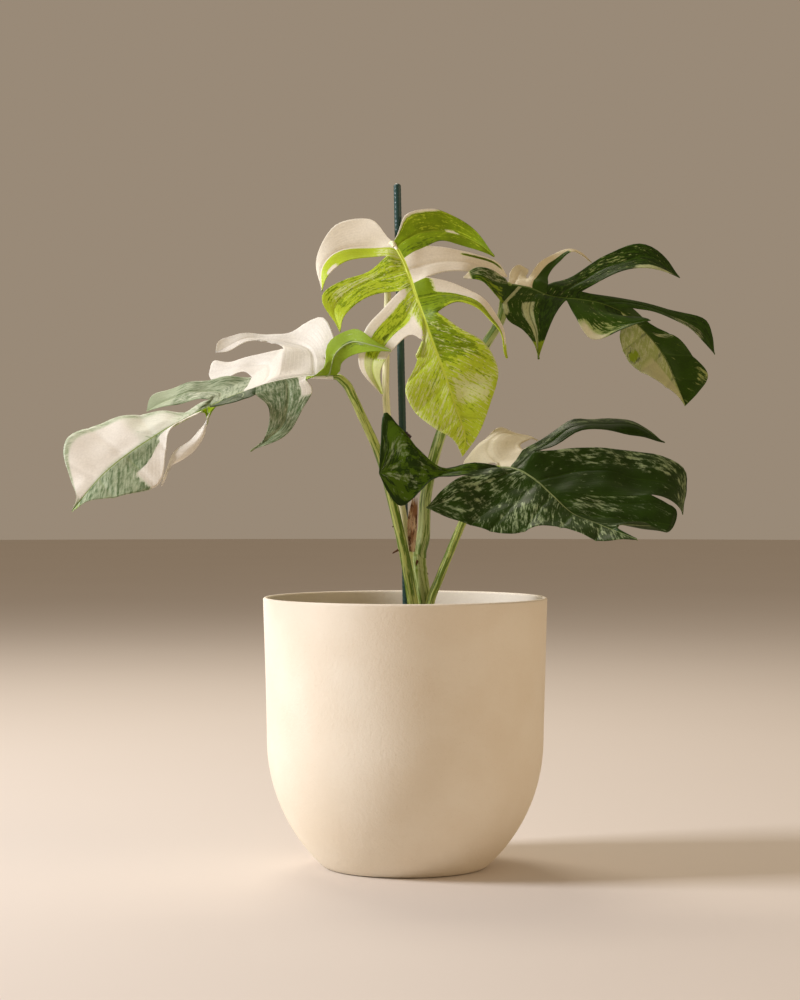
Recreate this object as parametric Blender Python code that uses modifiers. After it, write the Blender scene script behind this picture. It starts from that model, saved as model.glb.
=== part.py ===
"""Potted monstera: a variegated climbing plant on a support stake, potted in its nursery pot,
which stands inside a round-bottomed outer pot.

Metres, +Z up. The origin is the centre of the outer pot's flat foot, +X is to the right of the
front and +Y points away from it. The plant hangs on an empty at its crown, the point on the
pot's axis where it leaves the potting mix.
"""
import math
from collections import namedtuple

import bmesh
import bpy
import numpy as np
from mathutils import Vector

MM = 0.001
GAP = 0.3 * MM                  # between two pieces that touch

# outer pot
POT_HEIGHT = 0.200
POT_RIM_RADIUS = 0.1054         # outside, at the rim
POT_BELLY_RADIUS = 0.1026       # outside, where the bottom starts to round off
POT_BELLY_HEIGHT = 0.095
POT_FOOT_RADIUS = 0.060         # the flat that the pot stands on
POT_WALL = 0.0035
POT_FLOOR = 0.0045
POT_FLARE = 1.2                 # how much of the wall's flare lies near the rim
POT_SIDES = 48
POT_BOTTOM_RINGS = 9            # rings of the mesh up the rounded bottom, closer near the foot
POT_BOTTOM_CROWDING = 1.5
POT_WALL_RINGS = 4
POT_RIM_STEPS = 6

# nursery pot, standing loose on the outer pot's floor
NURSERY_HEIGHT = 0.166
NURSERY_WALL = 0.0010
NURSERY_CLEARANCE = 0.0065      # from the outer pot's inside, at the nursery pot's rim
NURSERY_FOOT_CLEARANCE = 0.003  # from the rounded inside of the outer pot, at its foot
NURSERY_LIP = 0.0020            # how far the rim stands out
NURSERY_LIP_HEIGHT = 0.004
NURSERY_BAND = 0.016            # the rim band, modelled apart from the wall below it
DRAIN_HOLES = 6
DRAIN_RADIUS = 0.005
DRAIN_CIRCLE_RADIUS = 0.036
INNER_SIDES = 40                # sides of the nursery pot, the mix and the roots

# potting mix and roots
MIX_BELOW_NURSERY_RIM = 0.010
MIX_MOUND = 0.002               # how much higher the mix lies round the crown
MIX_SHOULDER = 0.75             # the share of the mix's radius where its mound is half as high
ROOT_TOP_RADIUS = 0.036
ROOT_BOTTOM_RADIUS = 0.026
ROOT_DEPTH = 0.085

# stems; places are (x, y, height above the crown) in millimetres
SOCKET_DEPTH = 12               # how deep a stem stands in the roots
SOCKET_CLEARANCE = 0.4
STEM_ROUTE = [(17, 0, 0), (15, 0, 36), (12, 0, 52), (10, 0, 71)]
STEM_RADIUS = 5.1
STEM_SCAR_HEIGHTS = (24, 60)    # old leaf scars, which stand out a little as rings
STEM_SCAR_SWELL = 1.09
STEM_SCAR_WIDTH = 2.5
STEM_CLEARANCE = 0.8            # between the stem's widest scar and a leaf stalk beside it
STEM_POINTS = 30
STALK_POINTS = 26
STAKE_RADIUS = 2.75
STAKE_TOP = (-6, 12, 347)
STAKE_BOTTOM = (3, 15, -70)
STAKE_FOOT_TAPER = 0.6          # radius of the stake's ends, as a share of its own
STAKE_TOP_TAPER = 0.7
LEAF_JOINT_GAP = 3.0            # from a leaf stalk's end to the blade it carries

# leaf blades
BLADE_THICKNESS = 0.7 * MM
RIBS = 24                       # columns of the mesh along a midrib
WEB_ROWS = 3                    # rows from the midrib out to the bottoms of the splits
FINGER_ROWS = 6                 # rows from there to a finger's tip
MIDRIB_CROWDING = 1.5           # columns lie closer towards the stalk
TIP_CROWDING = 1.4              # rows lie closer towards a finger's tip
LEAST_WEB = 0.08                # the least and the most of a vein that lies in the web
MOST_WEB = 0.6

# Stalk: a leaf stalk's route from the crown, its thickness at each end, and the blade it ends at.
# Finger: one lobe of a blade. It ends at column `last`; `split` is the bottom of the split after
# it, `basal` and `distal` its edges on the stalk's side and the tip's, and `vein` runs to its tip.
# Half: one side of a blade, from its shoulder by the stalk, over its fingers, round its end.
# Right and left are as seen from the stalk, looking along the blade's upper face.
# Blade points are (x, y, z) in millimetres from the place where the stalk joins the blade.
Stalk = namedtuple("Stalk", "route thickness")
Finger = namedtuple("Finger", "last split basal vein distal")
Half = namedtuple("Half", "shoulder fingers end")
Leaf = namedtuple("Leaf", "base midrib right left stalk")

LEAF_CENTER = Leaf(
    base=(-9, -2, 302),
    midrib=[(0, 0, 0), (8, -12, -16), (17, -32, -43), (27, -49, -72), (37, -58, -99),
            (46, -63, -126), (52, -64, -146), (50, -63, -159)],
    right=Half(
        shoulder=(-4, 4, 4),
        fingers=[
            Finger(5, (-4, -8, -12),
                   basal=[(-16, 14, 18), (-40, 16, 16), (-56, 4, -11)],
                   vein=[(-16, 4, -2), (-35, 5, -5), (-52, -3, -19), (-53, -10, -37)],
                   distal=[(-20, -6, -11), (-37, -9, -16), (-47, -10, -25)]),
            Finger(9, (5, -28, -38),
                   basal=[(-15, -12, -21), (-35, -16, -29), (-51, -20, -40)],
                   vein=[(-15, -18, -29), (-31, -22, -38), (-43, -26, -50), (-39, -31, -68)],
                   distal=[(-11, -25, -40), (-30, -28, -50), (-36, -30, -57)]),
            Finger(13, (22, -50, -76),
                   basal=[(-7, -31, -52), (-21, -34, -69), (-25, -38, -92)],
                   vein=[(7, -38, -60), (-6, -39, -75), (-15, -40, -92), (-9, -41, -114)],
                   distal=[(14, -45, -71), (-1, -44, -84), (-9, -43, -98)]),
        ],
        end=[(16, -56, -94), (9, -61, -113), (15, -64, -126), (29, -68, -138), (44, -67, -148)]),
    left=Half(
        shoulder=(3, 4, 6),
        fingers=[
            Finger(5, (25, -4, -3),
                   basal=[(10, 12, 22), (28, 17, 26), (57, 14, 14)],
                   vein=[(24, 8, 9), (42, 12, 9), (60, 8, 2), (75, -1, -10)],
                   distal=[(35, 2, 1), (48, 4, -1), (63, 2, -6)]),
            Finger(9, (24, -26, -28),
                   basal=[(42, -2, -5), (61, 0, -9), (78, 2, -15)],
                   vein=[(35, -10, -15), (52, -6, -16), (68, -1, -18), (85, 4, -25)],
                   distal=[(39, -16, -23), (54, -12, -24), (70, -4, -26)]),
            Finger(13, (33, -44, -55),
                   basal=[(40, -28, -31), (60, -34, -41), (76, -42, -58)],
                   vein=[(40, -36, -41), (59, -40, -47), (74, -46, -62), (84, -56, -87)],
                   distal=[(45, -43, -48), (62, -46, -53), (75, -51, -67)]),
        ],
        end=[(48, -48, -66), (66, -50, -77), (76, -52, -96), (70, -57, -120), (60, -63, -145)]),
    stalk=Stalk(
        route=[(11, 8, 0), (6, 9, 52), (4, 8, 67), (0, 7, 90), (-3, 6, 108), (-10, 5, 149),
               (-14, 5, 183), (-14, 6, 223), (-13, 7, 261), (-12, 6, 289)],
        thickness=(3.1, 2.6)))

LEAF_LEFT = Leaf(
    base=(-51, -14, 203),
    midrib=[(0, 0, 0), (-19, -4, 0), (-48, -13, -5), (-74, -22, -15), (-101, -32, -28),
            (-133, -43, -47), (-165, -53, -72), (-187, -62, -99)],
    right=Half(
        shoulder=(-2, 10, 7),
        fingers=[
            Finger(8, (-39, 22, 19),
                   basal=[(-2, 14, 28), (-10, 26, 44), (-38, 38, 33), (-76, 42, 33), (-90, 38, 27)],
                   vein=[(-21, 22, 21), (-40, 34, 27), (-64, 40, 31), (-91, 34, 20)],
                   distal=[(-43, 32, 23), (-62, 37, 28), (-85, 34, 20)]),
            Finger(11, (-62, 12, -1),
                   basal=[(-59, 28, 16), (-82, 36, 12), (-94, 40, 13)],
                   vein=[(-52, 18, 8), (-74, 28, 7), (-97, 36, 3)],
                   distal=[(-68, 20, 3), (-80, 26, -1), (-95, 34, -1)]),
            Finger(15, (-90, -22, -19),
                   basal=[(-85, 10, -2), (-111, 10, -7), (-136, 4, -16)],
                   vein=[(-86, -6, -11), (-115, -2, -15), (-139, -6, -26)],
                   distal=[(-102, -16, -19), (-124, -12, -23)]),
        ],
        end=[(-106, -24, -25), (-137, -16, -27), (-168, -22, -35), (-194, -36, -49),
             (-195, -40, -57), (-189, -52, -76), (-184, -59, -90)]),
    left=Half(
        shoulder=(3, -6, 3),
        fingers=[
            Finger(5, (-22, -10, -3),
                   basal=[(5, -16, 9), (14, -28, 14), (28, -38, 16)],
                   vein=[(-1, -17, 13), (11, -28, 23), (28, -38, 20), (41, -43, 16)],
                   distal=[(-9, -11, 4), (-4, -18, 24), (14, -28, 33), (30, -38, 23)]),
            Finger(10, (-58, -24, -15),
                   basal=[(-17, -16, -10), (-23, -28, -25), (-37, -38, -46)],
                   vein=[(-34, -24, -19), (-38, -33, -37), (-61, -42, -56)],
                   distal=[(-49, -28, -23), (-48, -34, -38), (-54, -40, -51)]),
            Finger(13, (-82, -30, -20),
                   basal=[(-61, -36, -17), (-67, -52, -21)],
                   vein=[(-68, -40, -18), (-76, -56, -21), (-88, -70, -23)],
                   distal=[(-78, -42, -19), (-84, -56, -21)]),
            Finger(15, (-95, -33, -27),
                   basal=[(-92, -36, -31), (-94, -40, -44), (-101, -44, -56), (-117, -46, -66)],
                   vein=[(-92, -33, -30), (-98, -42, -46), (-112, -46, -58), (-124, -48, -81)],
                   distal=[(-93, -32, -28), (-102, -39, -47), (-117, -44, -61)]),
        ],
        end=[(-118, -42, -40), (-121, -50, -56), (-125, -60, -80), (-150, -66, -88),
             (-173, -66, -92)]),
    stalk=Stalk(
        route=[(9, -7, 0), (5, -8, 38), (3, -9, 51), (-3, -10, 82), (-10, -11, 112), (-19, -12, 144),
               (-24, -12, 156), (-31, -13, 171), (-38, -14, 186), (-44, -14, 197)],
        thickness=(4.2, 3.0)))

LEAF_RIGHT = Leaf(
    base=(76, -10, 271),
    midrib=[(0, 0, 0), (16, 2, -3), (32, 5, -9), (52, 8, -11), (70, 10, -14), (86, 12, -21),
            (101, 11, -34), (115, 8, -52), (123, 4, -70), (131, 0, -90)],
    right=Half(
        shoulder=(-2, -4, 3),
        fingers=[
            Finger(3, (-6, -12, -17),
                   basal=[(-14, -6, 9), (-24, -8, 10)],
                   vein=[(-10, -11, 0), (-21, -12, 5), (-33, -10, 3)],
                   distal=[(-11, -16, -10), (-19, -14, 0)]),
            Finger(10, (43, 3, -12),
                   basal=[(-1, -18, -29), (10, -24, -37), (17, -28, -47)],
                   vein=[(15, -10, -19), (19, -23, -38), (20, -30, -58)],
                   distal=[(35, -10, -22), (27, -22, -39)]),
            Finger(15, (86, 8, -24),
                   basal=[(48, -4, -24), (61, -14, -42), (82, -16, -36)],
                   vein=[(67, -2, -23), (84, -10, -31), (104, -8, -27)],
                   distal=[(92, 4, -25), (98, -3, -26)]),
        ],
        end=[(82, -3, -41), (88, -8, -57), (103, -11, -69), (121, -7, -80)]),
    left=Half(
        shoulder=(1, 8, 5),
        fingers=[
            Finger(4, (15, 14, 5),
                   basal=[(3, 22, 12), (9, 38, 17)],
                   vein=[(10, 24, 11), (13, 40, 15), (16, 52, 13)],
                   distal=[(15, 24, 8), (17, 40, 11)]),
            Finger(7, (29, 13, -2),
                   basal=[(25, 24, 18), (37, 36, 25), (51, 44, 28)],
                   vein=[(24, 18, 8), (35, 30, 20), (50, 40, 27), (65, 44, 19)],
                   distal=[(31, 20, 8), (40, 30, 20), (50, 38, 26)]),
            Finger(11, (55, 13, -5),
                   basal=[(52, 26, 10), (75, 36, 24), (102, 42, 32), (121, 38, 21)],
                   vein=[(56, 20, 5), (81, 30, 17), (109, 36, 22), (130, 28, 7)],
                   distal=[(70, 16, 4), (92, 22, 12), (116, 26, 11)]),
            Finger(15, (93, 15, -17),
                   basal=[(78, 22, -8), (118, 28, -16), (150, 28, -25)],
                   vein=[(85, 18, -12), (120, 23, -20), (145, 21, -34), (155, 16, -51)],
                   distal=[(110, 18, -19), (130, 18, -28), (146, 18, -42)]),
        ],
        end=[(114, 18, -33), (136, 15, -50), (148, 10, -69), (140, 4, -81)]),
    stalk=Stalk(
        route=[(11, 0, 73), (13, 0, 82), (15, 0, 112), (16, 0, 119), (21, 0, 142), (25, 0, 156),
               (43, 0, 195), (60, -2, 227), (71, -4, 246), (74, -6, 261)],
        thickness=(4.6, 3.4)))

LEAF_LOW = Leaf(
    base=(68, -30, 136),
    midrib=[(0, 0, 0), (10, -6, -1), (24, -18, -8), (37, -32, -20), (51, -46, -33), (65, -58, -39),
            (79, -68, -45), (94, -80, -51)],
    right=Half(
        shoulder=(-3, -4, 1),
        fingers=[
            Finger(4, (-18, -18, -7),
                   basal=[(-18, -8, 3), (-41, -14, -1), (-63, -18, 16), (-83, -20, 39),
                          (-86, -22, 15)],
                   vein=[(-23, -14, -3), (-43, -18, -4), (-66, -22, 0), (-87, -24, -5)],
                   distal=[(-31, -20, -8), (-46, -21, -8), (-73, -24, -28), (-81, -25, -18)]),
            Finger(8, (-22, -56, -43),
                   basal=[(-30, -28, -10), (-43, -42, -18)],
                   vein=[(-19, -32, -16), (-38, -46, -23), (-53, -56, -29)],
                   distal=[(-36, -56, -37), (-46, -57, -32)]),
        ],
        end=[(6, -64, -46), (34, -66, -41), (54, -74, -47), (72, -80, -52)]),
    left=Half(
        shoulder=(-1, 4, 3),
        fingers=[
            Finger(4, (10, 2, 8),
                   basal=[(-25, 14, 1), (-11, 28, 17), (3, 40, 29), (19, 46, 23)],
                   vein=[(-7, 16, 11), (2, 32, 24), (18, 40, 22), (31, 40, 19)],
                   distal=[(3, 14, 13), (12, 26, 18), (23, 36, 18)]),
            Finger(7, (26, -2, 10),
                   basal=[(34, 22, 22), (61, 36, 35), (92, 44, 35)],
                   vein=[(39, 16, 19), (70, 28, 32), (98, 36, 29), (126, 34, 20)],
                   distal=[(40, 10, 15), (70, 20, 27), (100, 28, 22)]),
            Finger(13, (108, -30, -21),
                   basal=[(56, 4, 13), (104, 8, 11), (136, 4, -3)],
                   vein=[(59, -8, -3), (99, -12, -8), (128, -12, -16), (133, -16, -35)],
                   distal=[(118, -26, -23), (127, -20, -28)]),
        ],
        end=[(126, -36, -32), (118, -50, -47), (101, -58, -40), (80, -67, -42)]),
    stalk=Stalk(
        route=[(18, -10, 0), (19, -9, 38), (25, -9, 53), (31, -10, 68), (41, -14, 92),
               (53, -20, 116), (63, -27, 132)],
        thickness=(3.5, 2.8)))
LEAVES = {"center": LEAF_CENTER, "left": LEAF_LEFT, "right": LEAF_RIGHT, "low": LEAF_LOW}
STALK_COLORS = {"center": (0.60, 0.58, 0.25), "left": (0.22, 0.30, 0.06),
                "right": (0.18, 0.26, 0.06), "low": (0.22, 0.30, 0.06)}
BLADE_COLORS = {"center": (0.32, 0.45, 0.03), "left": (0.55, 0.60, 0.48),
                "right": (0.06, 0.12, 0.02), "low": (0.04, 0.09, 0.02)}

# wire tie, in millimetres; its height is above the crown
TIE_HEIGHT = 161
TIE_RADIUS = 0.6
TIE_CLEARANCE = 0.5
TIE_ARC_POINTS = 7              # points of the loop round each stem
TIE_TWIST = 2                   # wire radii from the loop to the twist, then to the cut ends
TIE_TAIL = 6
TIE_RISE = 1.3                  # wire radii that one end lies above the other
TIE_POINTS = 40

# dry sheath on the stem, in millimetres
SHEATH_ROUTE = [(5, -5, 73), (5, -6.5, 84), (5.5, -6.5, 97), (7.5, -5.5, 114)]
SHEATH_RADIUS = 3.2
SHEATH_TIP_RADIUS = 1.2
SHEATH_ROLL = 200               # degrees of a turn that the sheath wraps
SHEATH_UNROLLED = 0.35          # how much of that wrap it has lost at its tip
SHEATH_FACING = -90             # the way its back faces, in degrees
SHEATH_THICKNESS = 0.5
SHEATH_ROWS = 9
SHEATH_COLUMNS = 7


def smooth_path(points, at):
    """Points on a smooth curve through the given ones, at fractions of its length."""
    points = np.array(points, float)
    steps = np.linalg.norm(np.diff(points, axis=0), axis=1)
    knots = np.concatenate(([0.0], np.cumsum(steps))) / steps.sum()
    slopes = np.gradient(points, knots, axis=0)
    at = np.asarray(at, float)
    span = np.clip(np.searchsorted(knots, at, side="right") - 1, 0, len(knots) - 2)
    width = (knots[span + 1] - knots[span])[:, None]
    s = (at - knots[span])[:, None] / width
    start, stop = points[span], points[span + 1]
    return (start * (1 + 2 * s) * (1 - s) ** 2 + stop * s ** 2 * (3 - 2 * s)
            + width * slopes[span] * s * (1 - s) ** 2 + width * slopes[span + 1] * s ** 2 * (s - 1))


def path_length(points):
    """Length of the broken line through some points."""
    return float(np.linalg.norm(np.diff(np.array(points, float), axis=0), axis=1).sum())


def make_material(name, color, roughness, metallic=0.0):
    """A plain material of one colour, given as linear red, green and blue."""
    material = bpy.data.materials.new(name)
    material.use_nodes = True
    shader = material.node_tree.nodes["Principled BSDF"]
    shader.inputs["Base Color"].default_value = (*color, 1.0)
    shader.inputs["Roughness"].default_value = roughness
    shader.inputs["Metallic"].default_value = metallic
    material.diffuse_color = (*color, 1.0)
    return material


def add_object(name, data, collection, material=None, parent=None, place=(0, 0, 0)):
    """A new object in a collection, placed under its parent."""
    piece = bpy.data.objects.new(name, data)
    collection.objects.link(piece)
    piece.location = place
    piece.parent = parent
    if material:
        data.materials.append(material)
    return piece


def turned(name, profile, steps, collection, material=None, parent=None, place=(0, 0, 0)):
    """A body turned from a profile of (radius, height) that runs down its outer side."""
    mesh = bpy.data.meshes.new(name)
    mesh.from_pydata([(r, 0, z) for r, z in profile], [(i, i + 1) for i in range(len(profile) - 1)], [])
    piece = add_object(name, mesh, collection, material, parent, place)
    screw = piece.modifiers.new("Turn", "SCREW")
    screw.steps = steps
    screw.render_steps = steps
    screw.use_merge_vertices = True
    screw.merge_threshold = 0.00001
    screw.use_smooth_shade = True
    return piece


def tube(name, points, radii, collection, material, parent=None, rounds=2):
    """A round stem along some points in metres, with a radius at each."""
    curve = bpy.data.curves.new(name, "CURVE")
    curve.dimensions = "3D"
    curve.bevel_depth = 1.0
    curve.bevel_resolution = rounds
    curve.use_fill_caps = True
    spline = curve.splines.new("POLY")
    spline.points.add(len(points) - 1)
    for knot, point, radius in zip(spline.points, points, radii):
        knot.co = (*point, 1.0)
        knot.radius = radius
    return add_object(name, curve, collection, material, parent)


def cut(piece, cutter):
    """Takes a cutter's shape out of a piece."""
    boolean = piece.modifiers.new("Cut " + cutter.name, "BOOLEAN")
    boolean.operation = "DIFFERENCE"
    boolean.object = cutter
    cutter.hide_render = True
    cutter.display_type = "WIRE"


def rods(name, ends, collection, parent=None, sides=24):
    """Straight round cutters in one object, each from a start to an end with a radius."""
    mesh = bpy.data.meshes.new(name)
    form = bmesh.new()
    for start, end, radius in ends:
        start, end = Vector(start), Vector(end)
        turn = (end - start).to_track_quat("Z", "Y").to_matrix().to_4x4()
        turn.translation = (start + end) / 2
        bmesh.ops.create_cone(form, cap_ends=True, segments=sides, radius1=radius, radius2=radius,
                              depth=(end - start).length, matrix=turn)
    form.to_mesh(mesh)
    form.free()
    return add_object(name, mesh, collection, parent=parent)


def belly_arc(offset=0.0):
    """Centre and radius of the pot's rounded bottom, moved inwards by a wall's thickness."""
    inset = POT_BELLY_RADIUS - POT_FOOT_RADIUS
    radius = (POT_BELLY_HEIGHT ** 2 + inset ** 2) / (2 * inset)
    return POT_BELLY_RADIUS - radius, radius - offset


def pot_radius(height, offset=0.0):
    """Radius of the outer pot's wall at a height, or of its inside with the wall as offset."""
    if height >= POT_BELLY_HEIGHT:
        rise = (height - POT_BELLY_HEIGHT) / (POT_HEIGHT - POT_BELLY_HEIGHT)
        return POT_BELLY_RADIUS + (POT_RIM_RADIUS - POT_BELLY_RADIUS) * rise ** POT_FLARE - offset
    center, radius = belly_arc(offset)
    return center + math.sqrt(radius ** 2 - (POT_BELLY_HEIGHT - height) ** 2)


def build_outer_pot(collection):
    """Thick shell with a rounded bottom, a flat foot and a rounded rim."""
    lip = POT_WALL / 2
    rings = range(POT_BOTTOM_RINGS)
    wall_heights = [POT_BELLY_HEIGHT * (i / POT_BOTTOM_RINGS) ** POT_BOTTOM_CROWDING for i in rings]
    straight = POT_HEIGHT - lip - POT_BELLY_HEIGHT
    wall_heights += [POT_BELLY_HEIGHT + straight * i / POT_WALL_RINGS for i in range(POT_WALL_RINGS + 1)]
    inside = [(pot_radius(max(z, POT_FLOOR), POT_WALL), max(z, POT_FLOOR))
              for z in wall_heights if z == 0 or z > POT_FLOOR]
    middle = pot_radius(POT_HEIGHT) - lip
    rim = [(middle - lip * math.cos(a), POT_HEIGHT - lip + lip * math.sin(a))
           for a in (math.pi * i / POT_RIM_STEPS for i in range(1, POT_RIM_STEPS))]
    outside = [(pot_radius(z), z) for z in reversed(wall_heights)]
    profile = [(0, POT_FLOOR)] + inside + rim + outside + [(0, 0)]
    stone = make_material("outer_pot", (0.66, 0.58, 0.46), 0.75)
    turned("outer_pot", profile, POT_SIDES, collection, stone)


def nursery_radius(height, offset=0.0):
    """Radius of the nursery pot's tapered wall at a height above its own foot."""
    foot = pot_radius(POT_FLOOR, POT_WALL) - NURSERY_FOOT_CLEARANCE
    rim = pot_radius(nursery_foot() + NURSERY_HEIGHT, POT_WALL) - NURSERY_CLEARANCE - NURSERY_LIP
    return foot + (rim - foot) * height / NURSERY_HEIGHT - offset


def nursery_foot():
    """Height of the nursery pot's underside."""
    return POT_FLOOR + GAP


def build_nursery_pot(collection, cutters):
    """Thin moulded pot with drain holes, up to its rim band, and the rim band with its lip."""
    top = NURSERY_HEIGHT
    wall = NURSERY_WALL
    lip = NURSERY_LIP
    under_lip = top - NURSERY_LIP_HEIGHT
    seam = top - NURSERY_BAND
    below = seam - GAP
    plastic = make_material("nursery_pot", (0.03, 0.03, 0.03), 0.5)
    place = (0, 0, nursery_foot())
    profile = [(0, wall), (nursery_radius(wall, wall), wall), (nursery_radius(below, wall), below),
               (nursery_radius(below), below), (nursery_radius(0), 0), (0, 0)]
    pot = turned("nursery_pot", profile, INNER_SIDES, collection, plastic, place=place)
    band = [(nursery_radius(seam, wall), seam), (nursery_radius(top, wall), top),
            (nursery_radius(top) + lip, top), (nursery_radius(under_lip) + lip, under_lip),
            (nursery_radius(under_lip), under_lip), (nursery_radius(seam), seam),
            (nursery_radius(seam, wall), seam)]
    turned("nursery_rim", band, INNER_SIDES, collection, plastic, place=place)
    holes = []
    for i in range(DRAIN_HOLES):
        angle = 2 * math.pi * (i + 0.5) / DRAIN_HOLES
        x = DRAIN_CIRCLE_RADIUS * math.cos(angle)
        y = DRAIN_CIRCLE_RADIUS * math.sin(angle)
        holes.append(((x, y, nursery_foot() - wall), (x, y, nursery_foot() + 2 * wall), DRAIN_RADIUS))
    cut(pot, rods("drain_hole_cutter", holes, cutters, sides=16))


def crown_height():
    """Height of the potting mix round the plant's crown."""
    return nursery_foot() + NURSERY_HEIGHT - MIX_BELOW_NURSERY_RIM


def build_potting_mix(collection):
    """The mix fills the nursery pot, with a hollow that the roots stand in."""
    bottom = nursery_foot() + NURSERY_WALL + GAP
    top = crown_height()
    edge = top - MIX_MOUND

    def outer(z):
        return nursery_radius(z - nursery_foot(), NURSERY_WALL + GAP)

    hollow = [(0, top - ROOT_DEPTH - GAP), (ROOT_BOTTOM_RADIUS + GAP, top - ROOT_DEPTH - GAP),
              (ROOT_TOP_RADIUS + GAP, top)]
    mound = [(outer(edge) * MIX_SHOULDER, (top + edge) / 2), (outer(edge), edge)]
    profile = hollow + mound + [(outer(bottom), bottom), (0, bottom)]
    earth = make_material("potting_mix", (0.035, 0.022, 0.015), 0.95)
    turned("potting_mix", profile, INNER_SIDES, collection, earth)


def beside_stem(stalk):
    """A leaf stalk's route, moved out from the stem wherever the stem would touch it."""
    stem = smooth_path(STEM_ROUTE, np.linspace(0, 1, STEM_POINTS))
    clear = STEM_RADIUS * STEM_SCAR_SWELL + stalk.thickness[0] + STEM_CLEARANCE
    route = []
    for x, y, height in stalk.route:
        near = stem[np.argmin(abs(stem[:, 2] - height))]
        away = Vector((x - near[0], y - near[1]))
        if height <= STEM_ROUTE[-1][2] and 0 < away.length < clear:
            away *= clear / away.length
            x, y = near[0] + away.x, near[1] + away.y
        route.append((x, y, height))
    return route


def rooted(route):
    """A stem's route, led straight down into its socket where it starts at the crown."""
    x, y, height = route[0]
    return [(x, y, -SOCKET_DEPTH), *route] if height == 0 else list(route)


def stalk_path(leaf, count):
    """A leaf stalk's points in metres from the crown, ending just short of its blade."""
    route = rooted(beside_stem(leaf.stalk)) + [leaf.base]
    stop = 1 - LEAF_JOINT_GAP / path_length(route)
    return smooth_path(route, np.linspace(0, stop, count)) * MM


def build_root_ball(collection, cutters, crown):
    """Matted roots, with a socket for each stem that rises from them and a hole for the stake."""
    profile = [(0, 0), (ROOT_TOP_RADIUS, 0), (ROOT_BOTTOM_RADIUS, -ROOT_DEPTH), (0, -ROOT_DEPTH)]
    roots = make_material("root_ball", (0.12, 0.07, 0.04), 0.9)
    ball = turned("root_ball", profile, INNER_SIDES, collection, roots, crown)
    rising = [(STEM_ROUTE, STEM_RADIUS)] + [(beside_stem(leaf.stalk), leaf.stalk.thickness[0])
                                            for leaf in LEAVES.values()]
    sockets = []
    for route, radius in rising:
        x, y, height = route[0]
        if height == 0:
            sockets.append(((x, y, -SOCKET_DEPTH), (x, y, SOCKET_DEPTH), radius))
    sockets.append((STAKE_BOTTOM, STAKE_TOP, STAKE_RADIUS))
    ends = []
    for low, high, radius in sockets:
        along = (Vector(high) - Vector(low)).normalized() * SOCKET_CLEARANCE
        ends.append(((Vector(low) - along) * MM, Vector(high) * MM, (radius + SOCKET_CLEARANCE) * MM))
    for i, end in enumerate(ends):
        cut(ball, rods("socket_cutter_%d" % (i + 1), [end], cutters, crown))


def build_stems(collection, crown):
    """The main stem with its leaf scars, the stake beside it and the leaf stalks."""
    green = make_material("main_stem", (0.16, 0.24, 0.04), 0.5)
    points = smooth_path(rooted(STEM_ROUTE), np.linspace(0, 1, STEM_POINTS))
    radii = []
    for height in points[:, 2]:
        scar = max(math.exp(-((height - ring) / STEM_SCAR_WIDTH) ** 2) for ring in STEM_SCAR_HEIGHTS)
        radii.append(STEM_RADIUS * (1 + (STEM_SCAR_SWELL - 1) * scar) * MM)
    tube("main_stem", points * MM, radii, collection, green, crown)

    plastic = make_material("support_stake", (0.012, 0.045, 0.045), 0.4)
    radius = STAKE_RADIUS * MM
    ends = [Vector(STAKE_BOTTOM) * MM, Vector(STAKE_TOP) * MM]
    along = (ends[1] - ends[0]).normalized()
    points = [ends[0], ends[0] + along * radius, ends[1] - along * radius, ends[1]]
    radii = [radius * STAKE_FOOT_TAPER, radius, radius, radius * STAKE_TOP_TAPER]
    tube("support_stake", points, radii, collection, plastic, crown)

    for side, leaf in LEAVES.items():
        points = stalk_path(leaf, STALK_POINTS)
        radii = np.linspace(*leaf.stalk.thickness, STALK_POINTS) * MM
        skin = make_material("petiole_" + side, STALK_COLORS[side], 0.45)
        tube("petiole_" + side, points, radii, collection, skin, crown)


def tie_path():
    """Route of the wire tie round the center leaf's stalk and the stake, with twisted tails."""
    height = TIE_HEIGHT * MM
    stalk = stalk_path(LEAF_CENTER, 200)
    stalk = stalk[np.argmin(abs(stalk[:, 2] - height))][:2]
    low, high = np.array(STAKE_BOTTOM, float) * MM, np.array(STAKE_TOP, float) * MM
    stake = (low + (high - low) * (height - low[2]) / (high[2] - low[2]))[:2]
    along = (stake - stalk) / np.linalg.norm(stake - stalk)
    across = np.array((-along[1], along[0]))
    clear = (TIE_RADIUS + TIE_CLEARANCE) * MM
    stalk_reach = LEAF_CENTER.stalk.thickness[0] * MM + clear
    stake_reach = STAKE_RADIUS * MM + clear
    points = []
    for center, reach, turn in ((stake, stake_reach, -math.pi / 2), (stalk, stalk_reach, math.pi / 2)):
        for i in range(TIE_ARC_POINTS):
            angle = turn + math.pi * i / (TIE_ARC_POINTS - 1)
            spot = center + reach * (math.cos(angle) * along + math.sin(angle) * across)
            points.append((*spot, height))
    # the loop closes in front of the stake, where the two ends twist and stand out
    first, last = np.array(points[0]), np.array(points[-1])
    wire = TIE_RADIUS * MM
    twist = np.array((*-across, 0.0)) * wire * TIE_TWIST
    tail = twist * TIE_TAIL / TIE_TWIST
    rise = np.array((0, 0, wire * TIE_RISE))
    start = [first + tail - rise, first + twist - rise, first - rise / 2]
    end = [last + rise / 2, first + twist + rise, first + tail + rise * 2]
    return start + points[1:-1] + end


def build_tie(collection, crown):
    """Coated wire that holds the stalk to the stake."""
    wire = make_material("plant_tie", (0.03, 0.015, 0.02), 0.6)
    points = smooth_path(tie_path(), np.linspace(0, 1, TIE_POINTS))
    tube("plant_tie", points, [TIE_RADIUS * MM] * TIE_POINTS, collection, wire, crown)


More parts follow.
